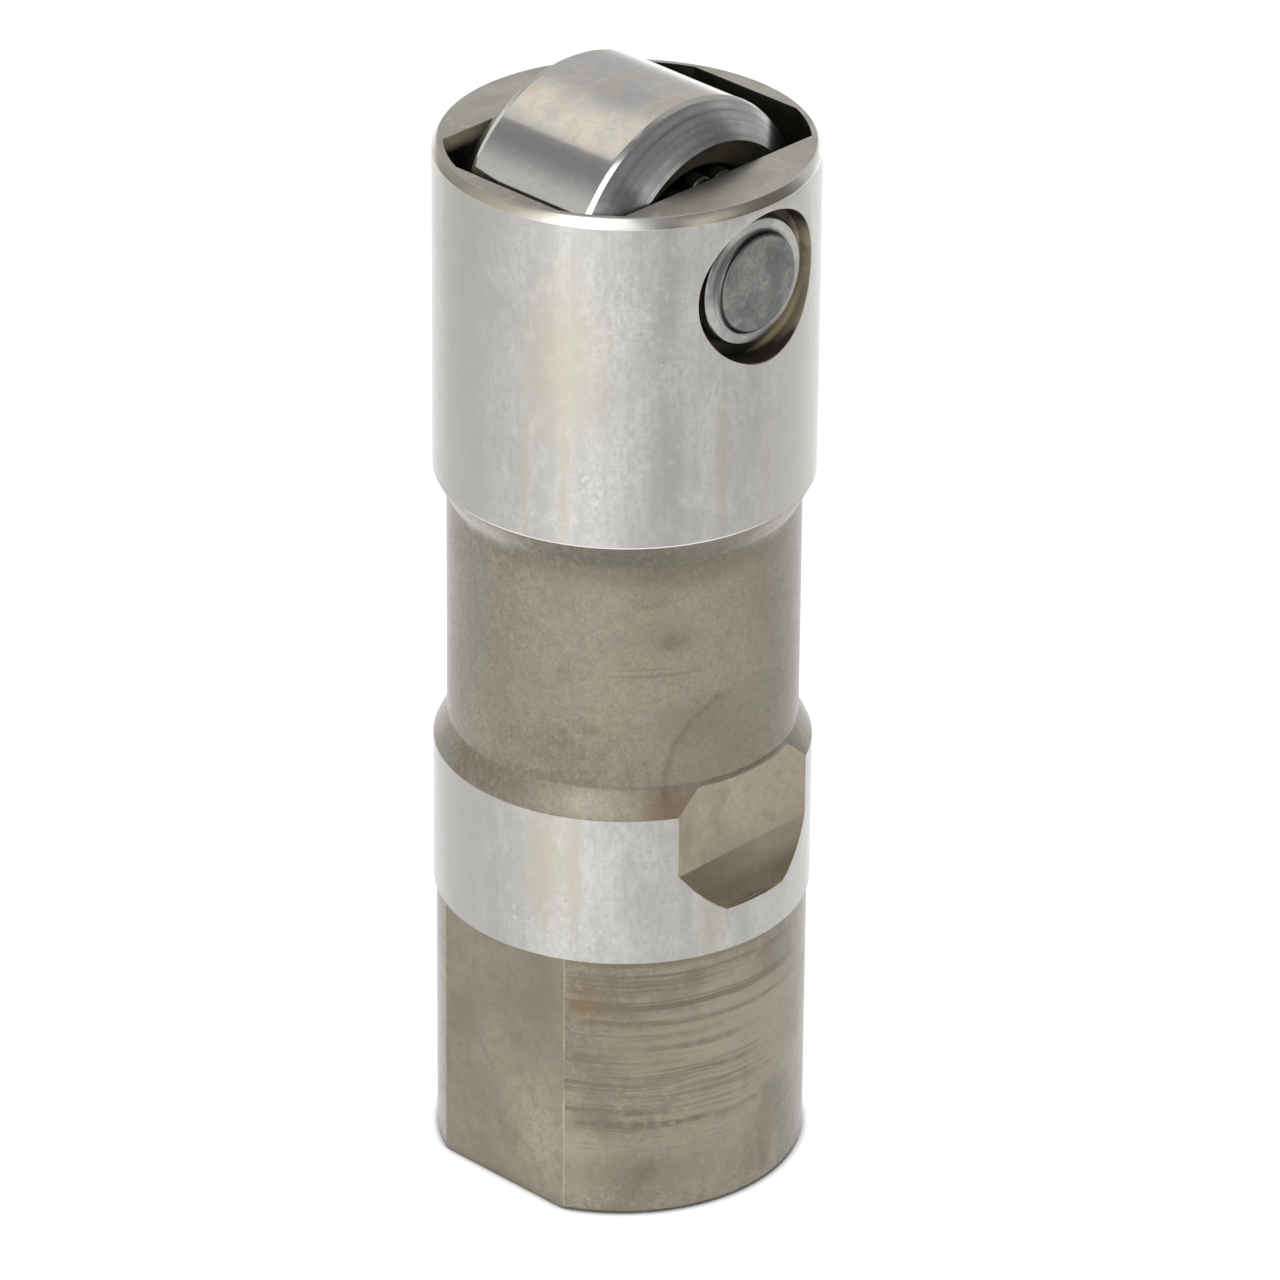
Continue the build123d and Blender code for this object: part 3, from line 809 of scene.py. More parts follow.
def neck_steel(finish):
    """The neck and its cones, with the stains and the outline above the notch, painted shade under the head and
    painted reflections on the cone below it.
    """
    f = dark_steel(finish, "Neck steel", 1.0, NECK_MM)
    dark, stain = finish.dark, finish.dark_stain
    # under is painted shade below the head's overhang.
    haze, under = toned(dark, 1.32, 1.36, 1.46), toned(dark, 0.50)
    for tint, patches in (
        (haze, ((0.50, -14, 38.0, 3.4, 2.6), (0.40, -7, 40.1, 2.4, 0.7), (0.25, -18, 33.6, 4.0, 2.4))),
        (toned(dark, 1.60), ((0.82, 27, 34.6, 6.0, 8.0), (0.25, -40, 33.5, 3.0, 6.0))),
        (toned(dark, 0.80, 0.86, 1.00), ((0.45, -56, 36.0, 2.2, 5.0),)),
        (stain, ((0.30, 58, 37.5, 2.0, 5.0),)),
        # Painted shade under the head.
        (under, ((0.55, 0, 41.3, 7.4, 1.3),)),
        (stain, (
            (0.45, 25, 40.5, 3.8, 0.9), (0.60, 16, 36.3, 0.75, 0.50), (0.25, 13, 36.7, 1.8, 1.0),
            (0.60, -10.7, 30.9, 0.55, 0.28), (0.50, 10, 34.3, 2.6, 0.10), (0.40, 6, 34.7, 1.6, 0.06),
            (0.40, -27, 29.2, 2.6, 0.8), (0.30, -44, 31.4, 1.2, 2.4), (0.40, 22, 31.2, 2.0, 1.4),
            (0.35, 8, 38.9, 1.2, 0.5), (0.28, -20, 26.4, 6.0, 0.9),
        )),
        (finish.ground_stain, ((0.55, 4, 26.4, 4.2, 0.75),)),
        (finish.rust, ((0.60, 16, 26.3, 1.6, 0.8),)),
        (stain, (
            (0.50, -38, 27.0, 2.2, 0.9), (0.50, -24, 27.5, 2.4, 0.35), (0.50, 2, 27.3, 3.5, 0.10),
            (0.20, 45, 29.5, 5.0, 2.8),
        )),
        # Painted shade under the head.
        (under, ((0.55, 2, 42.0, 6.2, 0.9),)),
        # Painted reflections: bright patches at the left and right of the cone under the head.
        (finish.worn, ((0.65, -54, 41.9, 3.0, 0.8), (0.55, 58, 41.8, 2.4, 0.8))),
    ):
        for amount, *where in patches:
            f.patch(tint, amount, *where, 0.6, 0.6)
    f.grain(toned(dark, 0.84), 0.30, (2.2, 2.0), 0.40, 0.74, 6.0)
    f.grain(toned(dark, 1.40), 0.42, (2.9, 2.6), 0.42, 0.78, 6.0, relief=0.002)
    f.grain(toned(dark, 0.72), 0.35, (6.5, 6.0), 0.42, 0.70, 3.0, relief=0.001)
    f.scratches(toned(dark, 1.6), 0.45, (0.4, 0.5), 0.006, 0.55)
    arch = f.patch(stain, 0.22, 45.95, 27.3, 5.62, 5.62, 0.02, 0.03)
    line = maths(f.tree, "ABSOLUTE", maths(f.tree, "SUBTRACT", arch["Distance"], 1.0))
    left = f.spot(20, 29.6, 3.6, 3.6, 0.3, 0.4)["Mask"]
    f.layer(stain, ramp(f.tree, line, 0.004, 0.060, 0.55, 0.0), mask=left)
    return f.done()


def lower_steel(finish):
    """The lower end, with the brown lines that the turning tool left, a painted sheen on its right and a painted
    shadow under the band.
    """
    f = dark_steel(finish, "Lower steel", 1.15, LOWER_MM)
    stain, light = finish.dark_stain, toned(finish.dark, 1.60)
    f.patch(light, 0.75, -18.5, 4.2, 2.8, 2.8, 0.6, 0.5)
    # Painted sheen: the lower end is lighter towards its right side.
    f.patch(light, 0.85, 36, 9.0, 6.0, 8.0, 0.7, 0.5)
    f.patch(light, 0.65, 17, 10.6, 3.2, 1.8, 0.8, 0.5)
    f.patch(stain, 0.28, -4, 10.6, 3.6, 2.6, 0.7, 0.6)
    f.patch(stain, 0.28, -4, 6.0, 3.2, 1.0, 0.7, 0.6)
    f.grain(toned(stain, 0.8), 0.40, (0.35, 0.22), 0.50, 0.66, 5.0, warp=2.0)
    upper = f.spot(24, 13.8, 9.0, 2.4, 0.4, 0.7)["Mask"]
    lower = f.spot(8, 8.4, 6.6, 4.0, 0.5, 0.8)["Mask"]
    f.grain(stain, 0.85, (0.05, 2.9), 0.50, 0.66, 4.0, warp=0.4, mask=upper, relief=0.005)
    f.grain(stain, 0.88, (0.06, 2.7), 0.47, 0.66, 4.0, warp=0.4, mask=lower, relief=0.005)
    f.grain(stain, 0.60, (0.12, 4.6), 0.48, 0.66, 4.0, warp=0.3, mask=lower, relief=0.003)
    f.grain(light, 0.35, (1.0, 2.2), 0.52, 0.74, 5.0, mask=lower)
    flecks = f.spot(12.6, 6.8, 3.0, 1.6, 0.6, 0.8)["Mask"]
    f.grain(toned(finish.dark, 2.1), 0.55, (1.9, 2.6), 0.46, 0.80, 6.0, mask=flecks)
    f.patch(toned(finish.rust, 0.8), 0.45, -10.8, 13.7, 0.9, 1.0, 0.8, 1.0)
    f.patch(stain, 0.50, 57, 15.4, 1.6, 0.18, 0.6, 0.5)
    # Painted shadow: a dark line just under the step up to the lower band.
    f.patch(stain, 0.50, 0, 16.3, 9.0, 0.22, 0.6, 0.4)
    f.patch(stain, 0.40, 5, 2.6, 4.5, 1.1, 0.7, 0.8)
    return f.done()


def milled_steel(finish, name, bright):
    """The guide flats and the notch, smoother and greyer than the turned steel, with a painted dark reflection on the
    notch's slope.
    """
    f = Finish(name, toned(finish.dark, bright), 0.40, film=0.35, radius=10.2)
    f.grain(0.80, 0.80, (0.24, 0.20), 0.38, 0.70, 5.0, warp=1.0, rough=0.06)
    f.grain(1.16, 0.6, (0.4, 0.34), 0.46, 0.72, 5.0, warp=1.0)
    f.patch(toned(finish.dark, 1.55), 0.70, -27, 4.6, 2.4, 3.4, 0.8, 0.4)
    f.grain(0.76, 0.45, (1.5, 1.4), 0.44, 0.72, 5.0, relief=0.003)
    f.grain(0.75, 0.35, (5.0, 4.0), 0.48, 0.64, 4.0, relief=0.003)
    f.grain(finish.dark_stain, 0.3, (0.6, 0.5), 0.56, 0.70, 5.0, warp=1.0)
    f.scratches(1.2, 0.3, (0.5, 0.8), 0.008, 0.5)
    f.specks(finish.dark_stain, 0.7, 1.3, 0.06, 0.35)
    # Painted dark reflection on the notch's slope, between its foot and its bend.
    height = f.along("Z")
    bottom, top = ramp(f.tree, height, 18.5, 18.6), ramp(f.tree, height, 21.84, 21.92, 1.0, 0.0)
    f.layer(toned(finish.dark, 0.60, 0.60, 0.50), maths(f.tree, "MULTIPLY", bottom, top), 0.30)
    return f.done()


def slot_steel(finish):
    """The shaded walls of the roller slot, near black with painted shade and oil, with painted light along the lit
    edge.
    """
    # Painted shade: the walls' near black colour, with their oil.
    f = Finish("Slot steel", finish.slot, 0.35, metallic=0.3, radius=10.0)
    f.grain(0.3, 0.9, (0.3, 0.25), 0.4, 0.6, 4.0, rough=-0.1)
    # Painted light: a pale band along the wall's lit upper edge.
    lit = f.patch(finish.slot_painted_light, 0.95, -95, 62.35, 3.6, 0.72, 0.4, 0.25)["Mask"]
    f.grain(toned(finish.slot_painted_light, 0.5), 0.5, 0.8, 0.45, 0.65, 4.0, mask=lit)
    return f.done()


def pocket_steel(finish):
    """The walls of the axle's pockets, tinted bronze by oil and heat, with painted shade on the walls turned away
    from +X.
    """
    f = Finish("Pocket steel", finish.pocket, 0.42, metallic=0.35)
    f.grain(0.55, 0.8, 0.45, 0.42, 0.6, 4.0, warp=0.5)
    f.grain(1.25, 0.5, 1.4, 0.5, 0.7, 4.0)
    # Painted shade: the walls darken as they turn away from the +X side.
    centred = vector_maths(f.tree, "SUBTRACT", f.place, (0, 0, AXLE_MM))
    side = add(f.tree, "ShaderNodeVectorMath", {0: centred, 1: (0.98, 0, -0.17)}, operation="DOT_PRODUCT")
    f.layer(0.04, ramp(f.tree, side.outputs["Value"], 2.9, 4.2, 1.0, 0.0))
    f.cloud(0.28, 0.85, (3.3, -9.75, AXLE_MM - 2.9), (1.8, 0.36, 2.0), 0.5, 0.15)
    bronze = toned(finish.pocket, 1.1, 1.04, 0.90)
    f.cloud(bronze, 0.80, (2.6, -9.2, AXLE_MM - 3.5), (2.1, 0.30, 1.8), 0.6, 0.1)
    return f.done()


def rim_steel(finish):
    """The smooth chamfer round the roller end."""
    f = Finish("Rim chamfer steel", finish.rim, 0.24, radius=10.6)
    f.grain(0.88, 0.7, 0.7, 0.42, 0.62, 4.0, rough=0.05)
    f.patch(finish.ground_stain, 0.85, 34, 62.1, 4.2, 3.0, 0.5, 0.3)
    f.patch(finish.ground_stain, 0.90, -56, 62.1, 7.0, 3.0, 0.5, 0.3)
    f.grain(finish.worn, 0.3, 1.6, 0.55, 0.8, 5.0)
    return f.done()


def end_steel(finish):
    """The flat end round the roller."""
    f = Finish("End face steel", finish.end_face, 0.34, radius=10.0)
    f.patch(0.50, 0.85, -20, 62.4, 5.0, 5.0, 0.8, 0.2)
    f.patch(0.74, 0.85, -72, 62.4, 6.0, 5.0, 0.6, 0.3)
    f.grain(0.84, 0.8, 0.5, 0.42, 0.62, 4.0, rough=0.06)
    f.grain(1.14, 0.6, 1.2, 0.54, 0.7, 4.0)
    f.grain(0.84, 0.4, 3.5, 0.45, 0.6, 4.0, relief=0.003)
    f.specks(finish.dark_stain, 0.5, 1.2, 0.06, 0.3)
    return f.done()


def tread_steel(finish):
    """The roller's tread, ground round, with straw and blue grey clouds that are painted reflections."""
    f = Finish("Roller tread", finish.tread, 0.085)
    tint, cool = finish.tread_straw_reflection, finish.tread_cool_reflection
    straw = toned(tint, 1.10)
    f.grain(0.90, 0.6, (0.30, 0.36, 0.30), 0.42, 0.62, 5.0, warp=2.0)
    # Painted reflections: straw and blue grey clouds at fixed places on the tread.
    for shade, amount, centre, reach in (
        (straw, 0.75, (-3.9, 2.7, 65.0), (1.5, 1.4, 1.2)),
        (straw, 0.75, (-4.1, -1.6, 64.9), (1.9, 2.6, 1.2)),
        (straw, 0.45, (-1.4, -3.6, 65.8), (2.0, 0.9, 1.2)),
        (tint, 0.65, (-2.3, 1.5, 65.6), (1.4, 1.4, 1.2)),
        (tint, 0.45, (-0.6, 1.8, 65.9), (1.1, 1.6, 1.2)),
        (cool, 0.75, (-1.6, -0.9, 65.7), (1.3, 1.4, 1.2)),
        (cool, 0.40, (-2.9, -0.6, 65.3), (0.9, 0.9, 1.2)),
        (cool, 0.50, (0.6, 2.8, 65.9), (1.2, 1.8, 1.2)),
    ):
        f.cloud(shade, amount, centre, reach, 0.6, 0.65)
    # More painted reflections in straw and blue grey, kept off the tread's far -X side.
    warm = ramp(f.tree, f.along("X"), -5.4, -4.6)
    f.grain(toned(tint, 0.94, 0.86, 0.74), 0.55, (0.55, 0.65, 0.55), 0.50, 0.68, 3.0, warp=2.0, mask=warm)
    f.grain(cool, 0.5, (0.45, 0.5, 0.45), 0.52, 0.66, 3.0, warp=2.0, mask=warm)
    f.grain(cool, 0.40, (0.8, 0.9, 0.8), 0.50, 0.72, 5.0, warp=1.0, mask=warm)
    f.grain(0.88, 0.5, (2.4, 2.8, 2.4), 0.46, 0.70, 5.0, rough=0.03)
    f.grain(1.10, 0.5, (1.5, 2.0, 1.5), 0.50, 0.74, 5.0, warp=0.5)
    f.grain(1.10, 0.4, (5.0, 0.8, 5.0), 0.52, 0.66, 3.0, relief=0.0006)
    f.specks(1.3, 0.5, 1.1, 0.08, 0.25)
    return f.done()


def axle_rings(f):
    """Puts a finish's place on the distance from the axle, and returns its usual place and that distance."""
    centred = vector_maths(f.tree, "SUBTRACT", f.place, (0, 0, AXLE_MM))
    radius = length(f.tree, vector_maths(f.tree, "MULTIPLY", centred, (1, 0, 1)))
    kept, f.place = f.place, add(f.tree, "ShaderNodeCombineXYZ", {0: radius}).outputs[0]
    return kept, radius


def roller_side_steel(finish):
    """The turned sides of the roller, with rings left by the tool and painted shade at the lower left."""
    side = finish.roller_side
    f = Finish("Roller side", toned(side, 1.25), 0.22)
    f.base = side
    kept, radius = axle_rings(f)
    f.grain(0.76, 0.7, (4.0, 1, 1), 0.44, 0.6, 4.0, relief=0.002)
    f.grain(0.60, 0.6, (11.0, 1, 1), 0.54, 0.60, 2.0)
    f.grain(1.4, 0.5, (13.0, 1, 1), 0.52, 0.60, 2.0)
    worn_ring = maths(f.tree, "ABSOLUTE", maths(f.tree, "SUBTRACT", radius, 8.28))
    f.layer(0.55, ramp(f.tree, worn_ring, 0.03, 0.10, 0.8, 0.0))
    f.place = kept
    # Painted shade: a dark cloud on the side's lower left, near the slot's edge.
    f.cloud(0.3, 0.75, (-6.5, -4.9, 62.2), (1.5, 1.6, 1.3), 0.6, 0.3)
    f.grain(0.8, 0.7, 0.45, 0.42, 0.62, 4.0, warp=1.0, rough=0.06)
    f.grain(0.85, 0.4, 3.0, 0.45, 0.62, 4.0, relief=0.002)
    f.specks(1.8, 0.5, 0.8, 0.08, 0.2)
    return f.done()


def roller_edge_steel(finish):
    """The roller's eased edges, rubbed bright by the cam, with a painted glint that fades towards +X."""
    f = Finish("Roller edge glint", finish.roller_edge_glint, 0.16)
    f.grain(0.9, 0.6, 1.2, 0.5, 0.66, 3.0)
    # Painted glint: the edge stays bright on its -X side and takes the tread's tone towards +X.
    f.layer(toned(finish.tread, 0.74), ramp(f.tree, f.along("X"), -5.3, -4.0, 0.0, 0.9))
    return f.done()


def recess_steel(finish):
    """The recess in the roller's hub, in painted shade that deepens towards the needles."""
    f = Finish("Roller recess", finish.recess, 0.42, metallic=0.5)
    # Painted shade: darker deeper in the recess, towards the needles.
    f.layer(0.08, ramp(f.tree, maths(f.tree, "ABSOLUTE", f.along("Y")), 4.2, 4.7, 1.0, 0.0))
    f.grain(0.6, 0.6, 0.6, 0.42, 0.62, 4.0)
    return f.done()


def axle_steel(finish):
    """The staked ends of the axle, matte grey."""
    f = Finish("Axle steel", finish.axle, 0.42)
    f.grain(0.66, 0.8, 0.6, 0.42, 0.62, 5.0, warp=1.0, rough=0.05)
    f.cloud(0.5, 0.6, (1.5, -9.4, AXLE_MM + 1.2), (0.9, 1.0, 1.1), 0.4, 0.5)
    f.grain(1.30, 0.5, 1.1, 0.50, 0.68, 5.0, relief=0.010)
    f.grain(0.66, 0.5, 3.5, 0.45, 0.6, 5.0, relief=0.008)
    f.scratches(0.4, 0.35, (0.5, 0.9), 0.012, 0.5)
    f.specks(finish.dark_stain, 0.6, 0.9, 0.07, 0.3)
    return f.done()


def axle_bead_steel(finish):
    """The bead that staking has raised round the axle's ends, with painted shade in the hollow against the core,
    deepest at the upper left.
    """
    f = Finish("Axle bead steel", finish.axle_bead, 0.34)
    kept, radius = axle_rings(f)
    f.grain(0.70, 0.7, (6.0, 1, 1), 0.46, 0.6, 3.0, relief=0.01)
    f.place = kept
    f.grain(0.62, 0.8, 0.5, 0.42, 0.6, 4.0, warp=1.0)
    f.grain(0.75, 0.5, 2.5, 0.46, 0.62, 4.0, relief=0.01)
    # Painted shade: a dark cloud at the bead's upper left, and a dark ring at the foot of the core.
    f.cloud(0.35, 0.75, (-2.7, -9.9, AXLE_MM + 1.5), (0.8, 2.0, 1.9), 0.5, 0.4)
    f.layer(0.25, ramp(f.tree, radius, 2.86, 3.02, 0.75, 0.0))
    return f.done()


def inner_steel(finish, name, bright=1.0):
    """The oiled pieces inside."""
    f = Finish(name, toned(finish.inner, bright), 0.26)
    f.grain(0.8, 0.6, 0.5, 0.42, 0.62, 3.0, rough=0.08)
    f.grain(0.85, 0.4, (0.3, 6.0), 0.5, 0.7, 2.0, relief=0.001)
    return f.done()


def body_profile(sizes):
    """The turned outside and the stepped bore, from the bore's end round to the roller end."""
    s = sizes
    relief_radius = s.bore_radius + s.bore_relief
    relief_bottom = s.bore_end - s.bore_relief_length
    groove_radius = s.bore_radius + s.ring_groove_depth
    groove_top = s.ring_height + s.ring_groove_half
    groove_bottom = s.ring_height - s.ring_groove_half
    bore_corner, rim_land = 0.2 * MM, 0.25 * MM
    bore = [
        (relief_radius - bore_corner, s.bore_end),
        (relief_radius, s.bore_end - bore_corner),
        (relief_radius, relief_bottom),
        (s.bore_radius, relief_bottom - s.bore_relief),
        (s.bore_radius, groove_top),
        (groove_radius, groove_top),
        (groove_radius, groove_bottom),
        (s.bore_radius, groove_bottom),
        (s.bore_radius, s.mouth_chamfer),
        (s.bore_radius + s.mouth_chamfer, 0),
    ]
    outside = [
        (s.lower_radius - s.foot_chamfer, 0),
        (s.lower_radius, s.foot_chamfer),
        (s.lower_radius, s.band_bottom),
        (s.radius, s.band_bottom),
        (s.radius, s.band_top),
        (s.neck_radius, s.neck_bottom),
        (s.neck_radius, s.neck_top),
        (s.radius, s.head_bottom),
        (s.radius, s.height - s.rim_height),
        (s.radius - s.rim_width, s.height),
        (s.radius - s.rim_width - rim_land, s.height),
    ]
    return bore + outside


def roller_slot(sizes):
    """The cutter for the pocket that the roller turns in."""
    s = sizes
    above = s.height + 2 * MM
    cutter = block(
        "slot_cutter",
        (-s.slot_half_length, -s.slot_half_width, s.slot_floor),
        (s.slot_half_length, s.slot_half_width, above),
    )
    rounding = turned(
        "slot_rounding", [(s.slot_corner_radius, s.slot_floor - MM), (s.slot_corner_radius, above + MM)]
    )
    cut(cutter, rounding, "INTERSECT")
    return cutter


def cross_hole(sizes, axle_height):
    """The cutter for the axle's hole and its flared pockets."""
    s = sizes
    beyond = MM
    flare_slope = s.pocket_flare / s.pocket_flare_depth
    half = [
        (s.pocket_radius + s.pocket_flare + beyond * flare_slope, s.radius + beyond),
        (s.pocket_radius, s.radius - s.pocket_flare_depth),
        (s.pocket_radius, s.pocket_floor),
        (s.hole_radius, s.pocket_floor),
    ]
    cutter = turned("cross_hole_cutter", mirrored_profile(half), segments=SEGMENTS // 2)
    along_axle(cutter, axle_height)
    return cutter


def band_notch(sizes):
    """The cutter for the flat milled into the band, drawn out below into its slope."""
    s = sizes
    outside = s.radius + MM
    cutter = block("notch_cutter", (-s.radius, -outside, s.notch_bend), (s.radius, -s.notch_distance, s.notch_top))
    edit(cutter, "FACE")
    mesh = bmesh.from_edit_mesh(cutter.data)
    for face in mesh.faces:
        face.select_set(face.normal.z < -0.5)
    bpy.ops.mesh.extrude_region_move(TRANSFORM_OT_translate={"value": (0, 0, s.notch_foot - s.notch_bend)})
    bpy.ops.mesh.select_mode(type="VERT")
    mesh = bmesh.from_edit_mesh(cutter.data)
    for vertex in mesh.verts:
        low = vertex.co.z < s.notch_foot + 0.1 * MM
        vertex.select_set(low and vertex.co.y > -s.notch_distance - 0.1 * MM)
    mesh.select_flush_mode()
    slope_reach = s.notch_ledge + s.notch_distance - s.radius
    bpy.ops.transform.translate(value=(0, slope_reach, 0))
    leave_edit()
    finish_mesh(cutter)
    return cutter


def guide_flats(sizes):
    """The cutters for the two slabs milled off the lower end."""
    s = sizes
    beyond = s.radius + MM
    return [
        block("flat_cutter", (s.flat_distance, -beyond, -MM), (beyond, beyond, s.band_bottom)),
        block("flat_cutter", (-beyond, -beyond, -MM), (-s.flat_distance, beyond, s.band_bottom)),
    ]


def feed_hole(sizes):
    """The cutter for the oil feed hole on the side away from the notch."""
    s = sizes
    run = [(s.feed_radius, -s.radius - MM), (s.feed_radius, -s.bore_radius + MM)]
    drill = turned("feed_cutter", run, segments=DRILL_SEGMENTS)
    along_axle(drill, s.feed_height)
    return drill


def soften_edges(piece, sizes):
    """Rounds the corners by the width that handling has worn."""
    edit(piece, "EDGE")
    bpy.ops.mesh.edges_select_sharp(sharpness=BEVEL_ANGLE)
    bpy.ops.mesh.bevel(offset=sizes.edge, segments=2, affect="EDGES", clamp_overlap=False, material=1)
    leave_edit()
    finish_mesh(piece, BEVEL_JOIN_DISTANCE)


def finish_body(piece, sizes, axle_height):
    """Gives each region of the body its own finish, by the place and the normal of each face."""
    s = sizes
    ground, edge, neck, lower, flat, notch, slot, end, bore, rim, pocket = range(11)
    close, near, facing, square_on = 0.05 * MM, 0.1 * MM, 0.97, 0.99
    rim_foot = s.height - s.rim_height - 0.06 * MM
    bore_reach = s.bore_radius + 0.9 * MM
    under_skin = s.radius - 0.03 * MM
    hole_edge = s.pocket_radius + s.pocket_flare
    for face in piece.data.polygons:
        middle, normal, worn = face.center, face.normal, face.material_index == edge
        radius = math.hypot(middle.x, middle.y)
        from_hole = math.hypot(middle.x, middle.z - axle_height)
        if normal.z > facing and middle.z > s.height - near:
            face.material_index = end
        elif from_hole < hole_edge and abs(middle.y) > s.pocket_floor - close and radius < under_skin:
            face.material_index = pocket
        elif middle.z > s.slot_floor - 2 * near and radius < s.slot_corner_radius + close:
            face.material_index = slot
        elif middle.z > rim_foot and from_hole > hole_edge:
            face.material_index = rim
        elif radius < bore_reach and abs(middle.y) < s.notch_distance - near:
            face.material_index = bore
        elif middle.z < s.band_bottom - near:
            if abs(normal.x) > square_on:
                face.material_index = flat
            elif not worn or middle.z < s.foot_chamfer + near:
                face.material_index = lower
        elif middle.z < s.band_top - near or middle.z > s.head_bottom - near:
            if not worn:
                face.material_index = notch if radius < under_skin and middle.z < s.band_top else ground
        elif normal.y < -facing and middle.z < s.notch_top + near and radius < s.neck_radius + near:
            face.material_index = notch
        else:
            face.material_index = neck


def dress(piece, *materials):
    """Gives a piece its materials."""
    for material in materials:
        piece.data.materials.append(material)


def hand_over(piece, body, slot, *nodes):
    """Gives a finished piece its body and hides the construction nodes that it stands for; the slot argument is not
    used.
    """
    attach(piece, body)
    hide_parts(*nodes)


def floor_material():
    """White paper that keeps the contact shadow, and is open from below so that the mouth can be seen."""
    material = bpy.data.materials.new("Studio floor")
    material.use_nodes = True
    tree = material.node_tree
    tree.nodes.clear()
    path = add(tree, "ShaderNodeLightPath").outputs
    seen = maths(tree, "MAXIMUM", path["Is Camera Ray"], path["Is Glossy Ray"])
    touch = add(tree, "ShaderNodeAmbientOcclusion", {"Distance": CONTACT_REACH}, samples=8)
    lit = ramp(tree, touch.outputs["AO"], *CONTACT_SHADE)
    diffuse = add(tree, "ShaderNodeBsdfDiffuse", {"Color": FLOOR_GREY})
    glow = add(tree, "ShaderNodeEmission", {"Color": WHITE, "Strength": maths(tree, "MULTIPLY", lit, seen)})
    both = add(tree, "ShaderNodeAddShader", {0: diffuse.outputs[0], 1: glow.outputs[0]})
    below = add(tree, "ShaderNodeNewGeometry").outputs["Backfacing"]
    from_foot = maths(tree, "LESS_THAN", path["Ray Length"], 5 * FLOOR_GAP)
    open_here = maths(tree, "MAXIMUM", below, from_foot)
    clear = add(tree, "ShaderNodeBsdfTransparent")
    paper = add(tree, "ShaderNodeMixShader", {0: open_here, 1: both.outputs[0], 2: clear.outputs[0]})
    add(tree, "ShaderNodeOutputMaterial", {"Surface": paper.outputs[0]})
    return material


def make_card_group():
    """A soft rectangle of light at one bearing and height over the horizon."""
    group, entry, leave = new_group(
        "Studio Card",
        {"Bearing": 0.0, "Elevation": 0.0, "Centre": (0, 0, 0), "Half size": (10, 10, 0), "Softness": (3, 3, 0)},
        "Mask",
    )
    centre, half, soft = (split(group, entry[label]) for label in ("Centre", "Half size", "Softness"))
    turn = maths(group, "WRAP", maths(group, "SUBTRACT", entry["Bearing"], centre["X"]), 180.0, -180.0)
    rise = maths(group, "SUBTRACT", entry["Elevation"], centre["Y"])
    masks = [
        fade(group, maths(group, "ABSOLUTE", off), soft[axis], half[axis]) for off, axis in ((turn, "X"), (rise, "Y"))
    ]
    group.links.new(maths(group, "MULTIPLY", *masks), leave["Mask"])


def studio_world():
    """A white studio: softboxes and screens as soft cards round a dim room, and plain white to the camera."""
    make_card_group()
    world = bpy.data.worlds.new("Studio")
    world.use_nodes = True
    tree = world.node_tree
    tree.nodes.clear()
    direction = add(tree, "ShaderNodeTexCoord").outputs["Generated"]
    turn = {"Vector": direction, "Angle": math.radians(-FRONT)}
    x, y, z = split(tree, add(tree, "ShaderNodeVectorRotate", turn, rotation_type="Z_AXIS").outputs[0])
    bearing = maths(tree, "DEGREES", maths(tree, "ARCTAN2", y, x))
    elevation = maths(tree, "DEGREES", maths(tree, "ARCSINE", z))
    round_room = maths(tree, "DIVIDE", maths(tree, "ADD", bearing, 180.0), 360.0)
    ring = add(tree, "ShaderNodeValToRGB", {0: round_room})
    stops = ring.color_ramp.elements
    while len(stops) < len(RING):
        stops.new(0.5)
    for stop, (angle, brightness) in zip(stops, RING):
        stop.position = (angle + 180) / 360
        stop.color = solid([brightness / RING_PEAK] * 3)
    around = vector_maths(tree, "MULTIPLY", ring.outputs[0], (RING_PEAK, RING_PEAK, RING_PEAK))
    light = blend(tree, ramp(tree, elevation, ROOM_STARTS, ROOM_REACHED), around, ROOM)
    for centre, half_size, softness, shown in CARDS:
        card = place_group(
            tree, "Studio Card", bearing=bearing, elevation=elevation,
            centre=(*centre, 0), half_size=(*half_size, 0), softness=(*softness, 0),
        )
        light = blend(tree, card["Mask"], light, shown)
    camera_ray = add(tree, "ShaderNodeLightPath").outputs["Is Camera Ray"]
    studio = add(tree, "ShaderNodeBackground", {"Color": light, "Strength": 1.0})
    white = add(tree, "ShaderNodeBackground", {"Color": WHITE, "Strength": 1.0})
    mixed = add(tree, "ShaderNodeMixShader", {0: camera_ray, 1: studio.outputs[0], 2: white.outputs[0]})
    add(tree, "ShaderNodeOutputWorld", {"Surface": mixed.outputs[0]})
    return world


class LIFTER_OT_finishes(bpy.types.Operator):
    """Builds the shared shader groups and finishes the pieces kept from the construction model."""

    bl_idname = "lifter.finishes"
    bl_label = "Shared finishes"

    def execute(self, context):
        for make in (make_grain_group, make_patch_group, make_speck_group, make_scratch_group, make_cloud_group):
            make()
        finish = context.scene.lifter_finish
        for node, bright in (("plunger", 1.0), ("metering_disc", 1.1), ("check_ball", 1.5), ("ball_cage", 0.8)):
            material = inner_steel(finish, f"{node.replace('_', ' ').capitalize()} steel", bright)
            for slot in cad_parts[node].material_slots:
                slot.material = material
        return {"FINISHED"}


